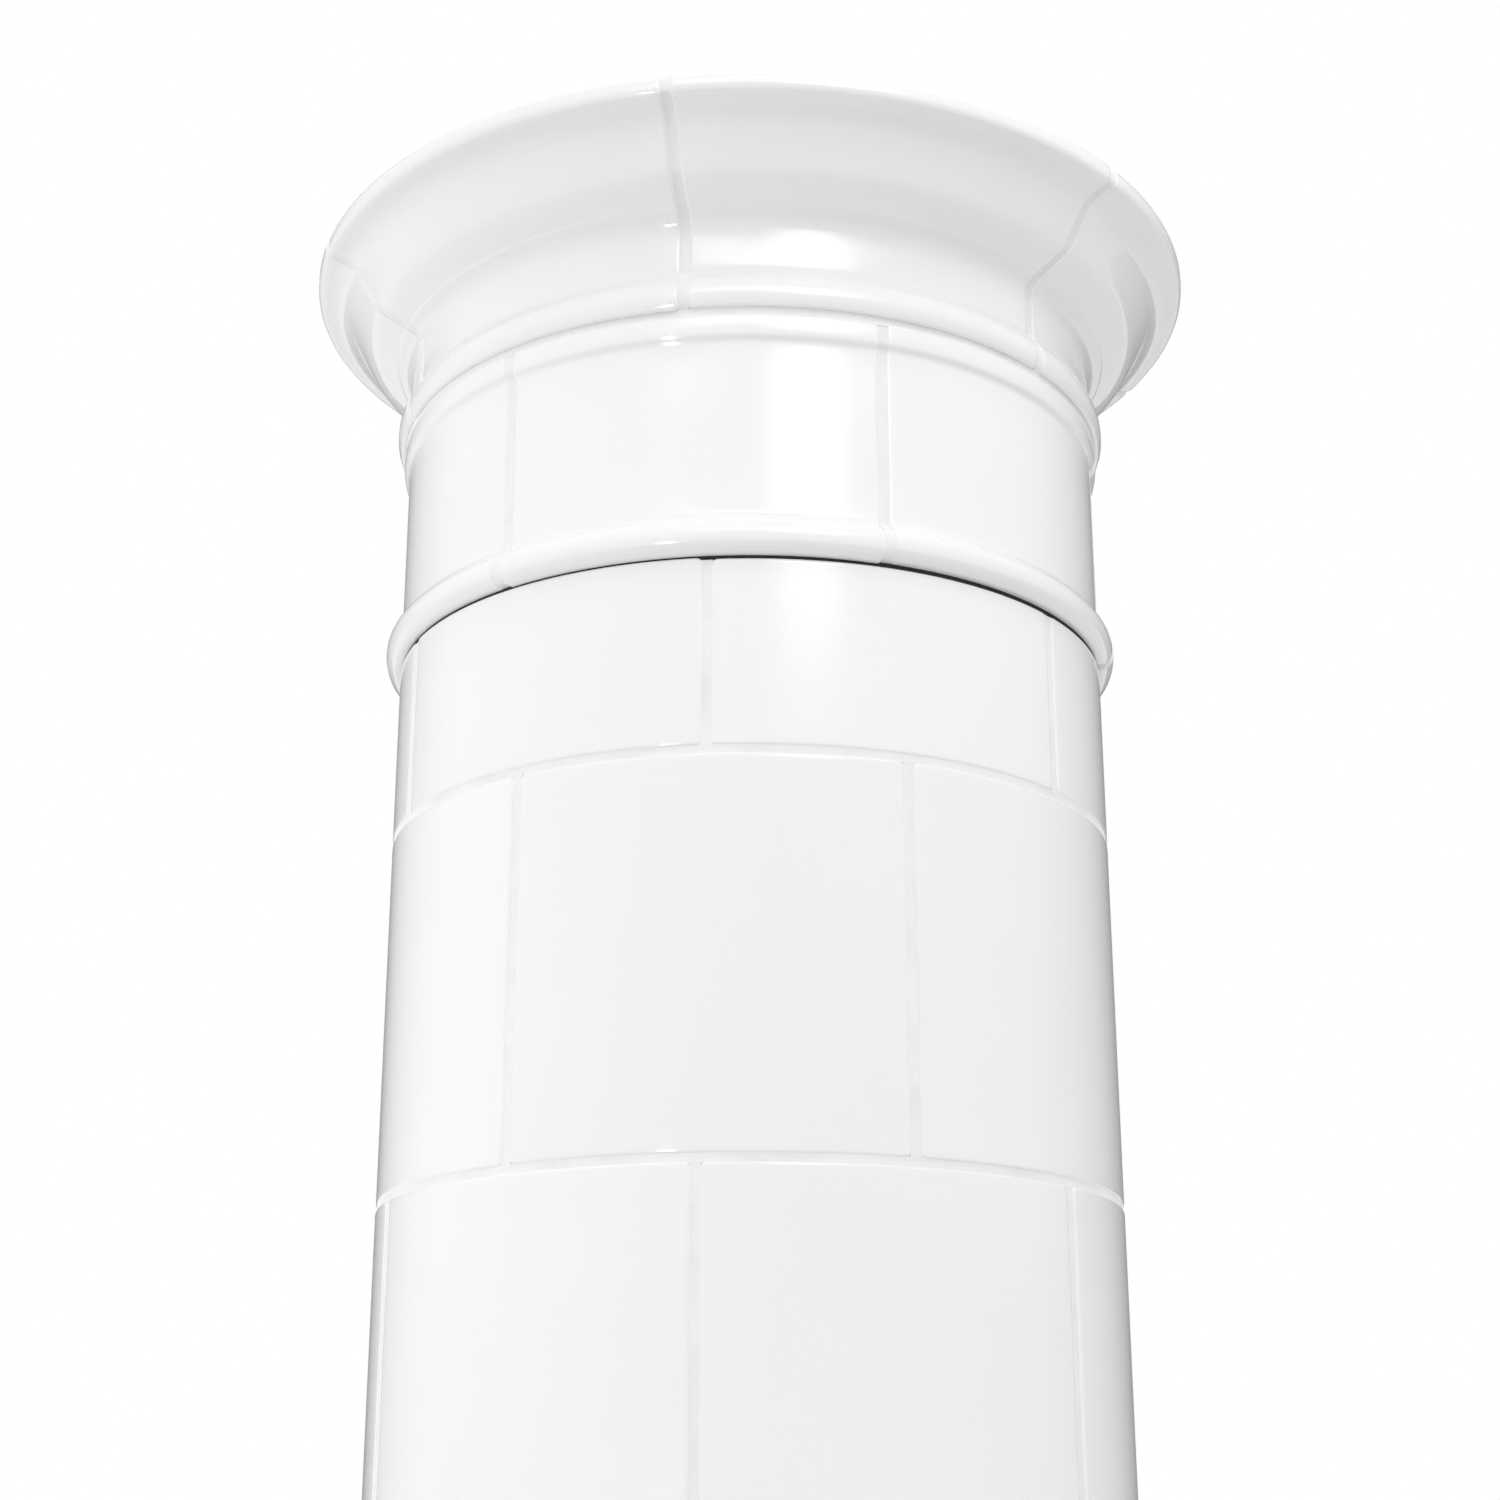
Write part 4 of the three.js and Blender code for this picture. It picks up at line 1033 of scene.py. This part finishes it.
makePiece("frame_screws", screws, brass)
print("fire doors hung")

# Damper, soot hatches and flue.

rodShape = {"from": -34, "to": 316, "radius": 5}
start, end, thick = rodShape.values()
rod = [(0, start), (thick - 0.6, start), (thick, start + 0.8)]
rod += [(thick, end - 3), (thick - 0.4, end), (0, end)]
rod = turnedOut(rod, 0, holes["rodHeight"], 32)
makePiece("pull_rod", [rod], iron, "damper", nodes=["damper_rod"])
rodKnob = knobShape(end + 0.3, 0, holes["rodHeight"])
makePiece("rod_knob", [rodKnob], brass, "damper", nodes=["damper_knob"])
rose = discs([
    (6.7, 300.3), (13, 300.3), (13.6, 300.9), (13.2, 301.8), (10.6, 302.3), (8.8, 303.6), (7.6, 304),
    (6.7, 303.6),
])
makePiece("rod_rosette", [wrapped(rose, 0, holes["rodHeight"], joined=True)], brass)

hatchShape = {"gripSeat": 303.5, "gripScale": 0.82, "lid": (46, 292, 299)}
cover = discs([
    (50, 300.6), (57.3, 300.6), (58, 301.3), (58, 303.2), (56.8, 304.5), (54.6, 305), (52, 304.6),
    (50.4, 303.6), (47, 303.4), (34, 303.5), (31, 304.2), (28, 304.5), (25, 304.2), (22, 303.6),
    (12, 303.6),
])
# The cup behind the cover fills the hole in the tile and the brickwork.
cup = [(46, 250), (49.6, 250), (50, 250.6), (50, 302), (45.6, 302), (45.6, 292), (46, 291)]
for side, hand in hands:
    place = (side * holes["hatchAzimuth"], holes["hatchHeight"])
    shapes = [
        wrapped(cover, *place),
        turnedOut(cup, *place, 64, joined=True),
        peg(*hatchShape["lid"], *place, 64),
    ]
    makePiece(f"{hand}_hatch_cover", shapes, brass, f"{hand}_hatch", nodes=[f"{hand}_soot_hatch"])
    grip = knobShape(hatchShape["gripSeat"], *place, hatchShape["gripScale"])
    makePiece(f"{hand}_hatch_grip", [grip], brass, f"{hand}_hatch")

flueShape = {"screwOff": 62, "collarFace": 303}
pipe = [
    (72.5, 168), (75, 168), (75, 322), (75.6, 324), (76, 326), (75.6, 328), (75, 330), (75, 344.4),
    (74.4, 345), (73.1, 345), (72.5, 344.4),
]
pipe = turnedOut(pipe, 180, holes["flueHeight"], 96, joined=True)
makePiece("flue_pipe", [pipe], steel, nodes=["flue_spigot"])
collar = discs([
    (75.7, 300.5), (97.4, 300.5), (98, 301), (98, 302.3), (97, 303.2), (94, 303.4), (80, 303.4),
    (76.6, 303.4), (75.7, 303),
], 96)
collar = wrapped(collar, 180, holes["flueHeight"], joined=True)
makePiece("flue_cover_ring", [collar], steel, nodes=["flue_collar"])
fixings = []
off = flueShape["screwOff"]
for across, up in ((-off, -off), (off, -off), (-off, off), (off, off)):
    azimuth = 180 + math.degrees(math.asin(across / flueShape["collarFace"]))
    fixings.append(rivet(azimuth, holes["flueHeight"] + up, 3, 303.2, 1.2))
makePiece("flue_ring_screws", fixings, steel)
print("damper, hatches and flue fitted")

# The CAD pieces that stay.

kept = {
    "lintel_bar": iron, "damper_plate": iron, "foundation_block": mortar, "top_slab": mortar,
    "hearth_slab": flatBricks, "firebox_roof": flatBricks, "firebox_lining": roundBricks,
}
for name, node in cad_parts.items():
    if name.startswith("core_block"):
        kept[name] = roundBricks
    if name in kept:
        node.data.materials.clear()
        node.data.materials.append(kept[name])
print("inner masonry finished")

# Floor, light and camera, in metres.

stageLook = {
    "floor": (0.75, 0.75, 0.75),
    "floorFades": (0.7, 2.6),
    "floorRadius": 30000,  # millimetres
    "around": 0.79,
    "behind": 0.26,
    "front": {
        "at": (1.2, -2.65, 3.45), "aim": (0.05, -0.3, 1.95), "size": (1.75, 1.7), "power": 32,
        "fading": 0.45,
    },
    "above": {"at": (1.2, -1.6, 4.3), "aim": (0, -0.25, 2.0), "size": (2.2, 1.4), "power": 24},
    "left": {"at": (-2.45, -0.6, 1.75), "aim": (-0.3, -0.15, 1.4), "size": (2.1, 2.2), "power": 21},
    "low": {"at": (0.9, -3.2, 1.0), "aim": (0, 0, 1.7), "size": (2.2, 1.2), "power": 5},
    "glint": {"at": (-0.76, -2.5, 1.12), "aim": (0, -0.3, 2.0), "size": (0.17, 0.05), "power": 14},
    "ceiling": {
        "at": (1.0, -4.1, 4.68), "aim": (0, -0.3, 2.2), "size": (7.5, 1.0), "power": 50,
        "fading": 0.4,
    },
}
# Lamps that show in the gloss only. Of the others, only the front one shows there.
onlyReflected = ("glint", "ceiling")


# The floor takes the stove's shadow, and turns to white further out.
def floorDisc():
    points, faces = turnedUp([(0, -0.2), (stageLook["floorRadius"], -0.2)], sides=64)
    floor = meshObject("floor", [(points, [f for f in faces if len(f) == 4])], 30)
    material, tree, shader = startFinish("pale_floor")
    where = objectPlace(tree)
    cloud = noiseOf(tree, where, 1.5, 3)
    low = tuple(c * 0.985 for c in stageLook["floor"])
    colour = rampOf(tree, cloud, [(0.3, low), (0.7, stageLook["floor"])])
    tree.links.new(colour, shader.inputs["Base Color"])
    shader.inputs["Roughness"].default_value = 0.9
    away = addNode(tree, "VectorMath", {0: where}, operation="LENGTH").outputs["Value"]
    far = rangeOf(tree, away, 0.0, 1.0, *stageLook["floorFades"])
    path = addNode(tree, "LightPath").outputs
    seen = mathOf(tree, "MAXIMUM", path["Is Camera Ray"], inGlossOf(tree, path))
    white = addNode(tree, "Emission", {"Color": (1, 1, 1, 1), "Strength": 1.0})
    share = mathOf(tree, "MULTIPLY", far, seen)
    mixed = addNode(tree, "MixShader", {0: share, 1: shader.outputs[0], 2: white.outputs[0]})
    tree.links.new(mixed.outputs[0], tree.nodes["Material Output"].inputs["Surface"])
    floor.data.materials.append(material)
    floor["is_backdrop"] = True


# White to the eye everywhere. The glaze and the brass also see it white in front, and greyer behind.
def whiteSurroundings():
    world = bpy.data.worlds.new("studio")
    scene.world = world
    world.use_nodes = True
    tree = world.node_tree
    tree.nodes.clear()
    path = addNode(tree, "LightPath").outputs
    direction = addNode(tree, "TexCoord").outputs["Generated"]
    depth = addNode(tree, "SeparateXYZ", {"Vector": direction}).outputs["Y"]
    mirrored = rangeOf(tree, depth, 1.0, stageLook["behind"], 0.2, 0.9)
    soft, gloss, white = [
        addNode(tree, "Background", {"Color": (1, 1, 1, 1), "Strength": strength}).outputs[0]
        for strength in (stageLook["around"], mirrored, 1.0)
    ]
    unseen = addNode(tree, "MixShader", {0: inGlossOf(tree, path), 1: soft, 2: gloss}).outputs[0]
    seen = addNode(tree, "MixShader", {0: path["Is Camera Ray"], 1: unseen, 2: white})
    end = tree.nodes.new("ShaderNodeOutputWorld")
    tree.links.new(seen.outputs[0], end.inputs["Surface"])


# Brightness falls off towards the softbox's edges where fading is given.
def fadeEdges(data, fading):
    data.use_nodes = True
    tree = data.node_tree
    onLamp = addNode(tree, "NewGeometry").outputs["Parametric"]
    place = addNode(tree, "SeparateXYZ", {"Vector": onLamp}).outputs
    strength = 1.0
    for axis in ("X", "Y"):
        off = mathOf(tree, "ABSOLUTE", mathOf(tree, "SUBTRACT", place[axis], 0.5))
        inputs = {"Value": off, "From Min": 0.5 - fading, "From Max": 0.5, "To Min": 1.0, "To Max": 0.0}
        fade = addNode(tree, "MapRange", inputs, interpolation_type="SMOOTHSTEP").outputs["Result"]
        strength = mathOf(tree, "MULTIPLY", fade, strength)
    tree.links.new(strength, tree.nodes["Emission"].inputs["Strength"])


def softbox(name):
    look = stageLook[name]
    data = bpy.data.lights.new(name, "AREA")
    data.shape = "RECTANGLE"
    data.size, data.size_y = look["size"]
    data.energy = look["power"]
    if "fading" in look:
        fadeEdges(data, look["fading"])
    lamp = bpy.data.objects.new(name, data)
    lamp.location = look["at"]
    lamp.rotation_euler = (Vector(look["aim"]) - Vector(look["at"])).to_track_quat("-Z", "Y").to_euler()
    lamp.visible_glossy = name == "front" or name in onlyReflected
    lamp.visible_diffuse = name not in onlyReflected
    scene.collection.objects.link(lamp)


floorDisc()
whiteSurroundings()
for name in ("front", "above", "left", "low", "glint", "ceiling"):
    softbox(name)

cameraPlace = {"at": (0.2356, -2.036, 1.1924), "tilt": 18.49, "turn": 6.6, "lens": 60.4}
cameraData = bpy.data.cameras.new("camera")
cameraData.lens = cameraPlace["lens"]
cameraData.sensor_width = 36
camera = bpy.data.objects.new("camera", cameraData)
camera.location = cameraPlace["at"]
camera.rotation_euler = (math.radians(90 + cameraPlace["tilt"]), 0, math.radians(cameraPlace["turn"]))
scene.collection.objects.link(camera)
scene.camera = camera
scene.view_settings.view_transform = "Standard"
print("lamps and camera placed")

low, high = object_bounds()
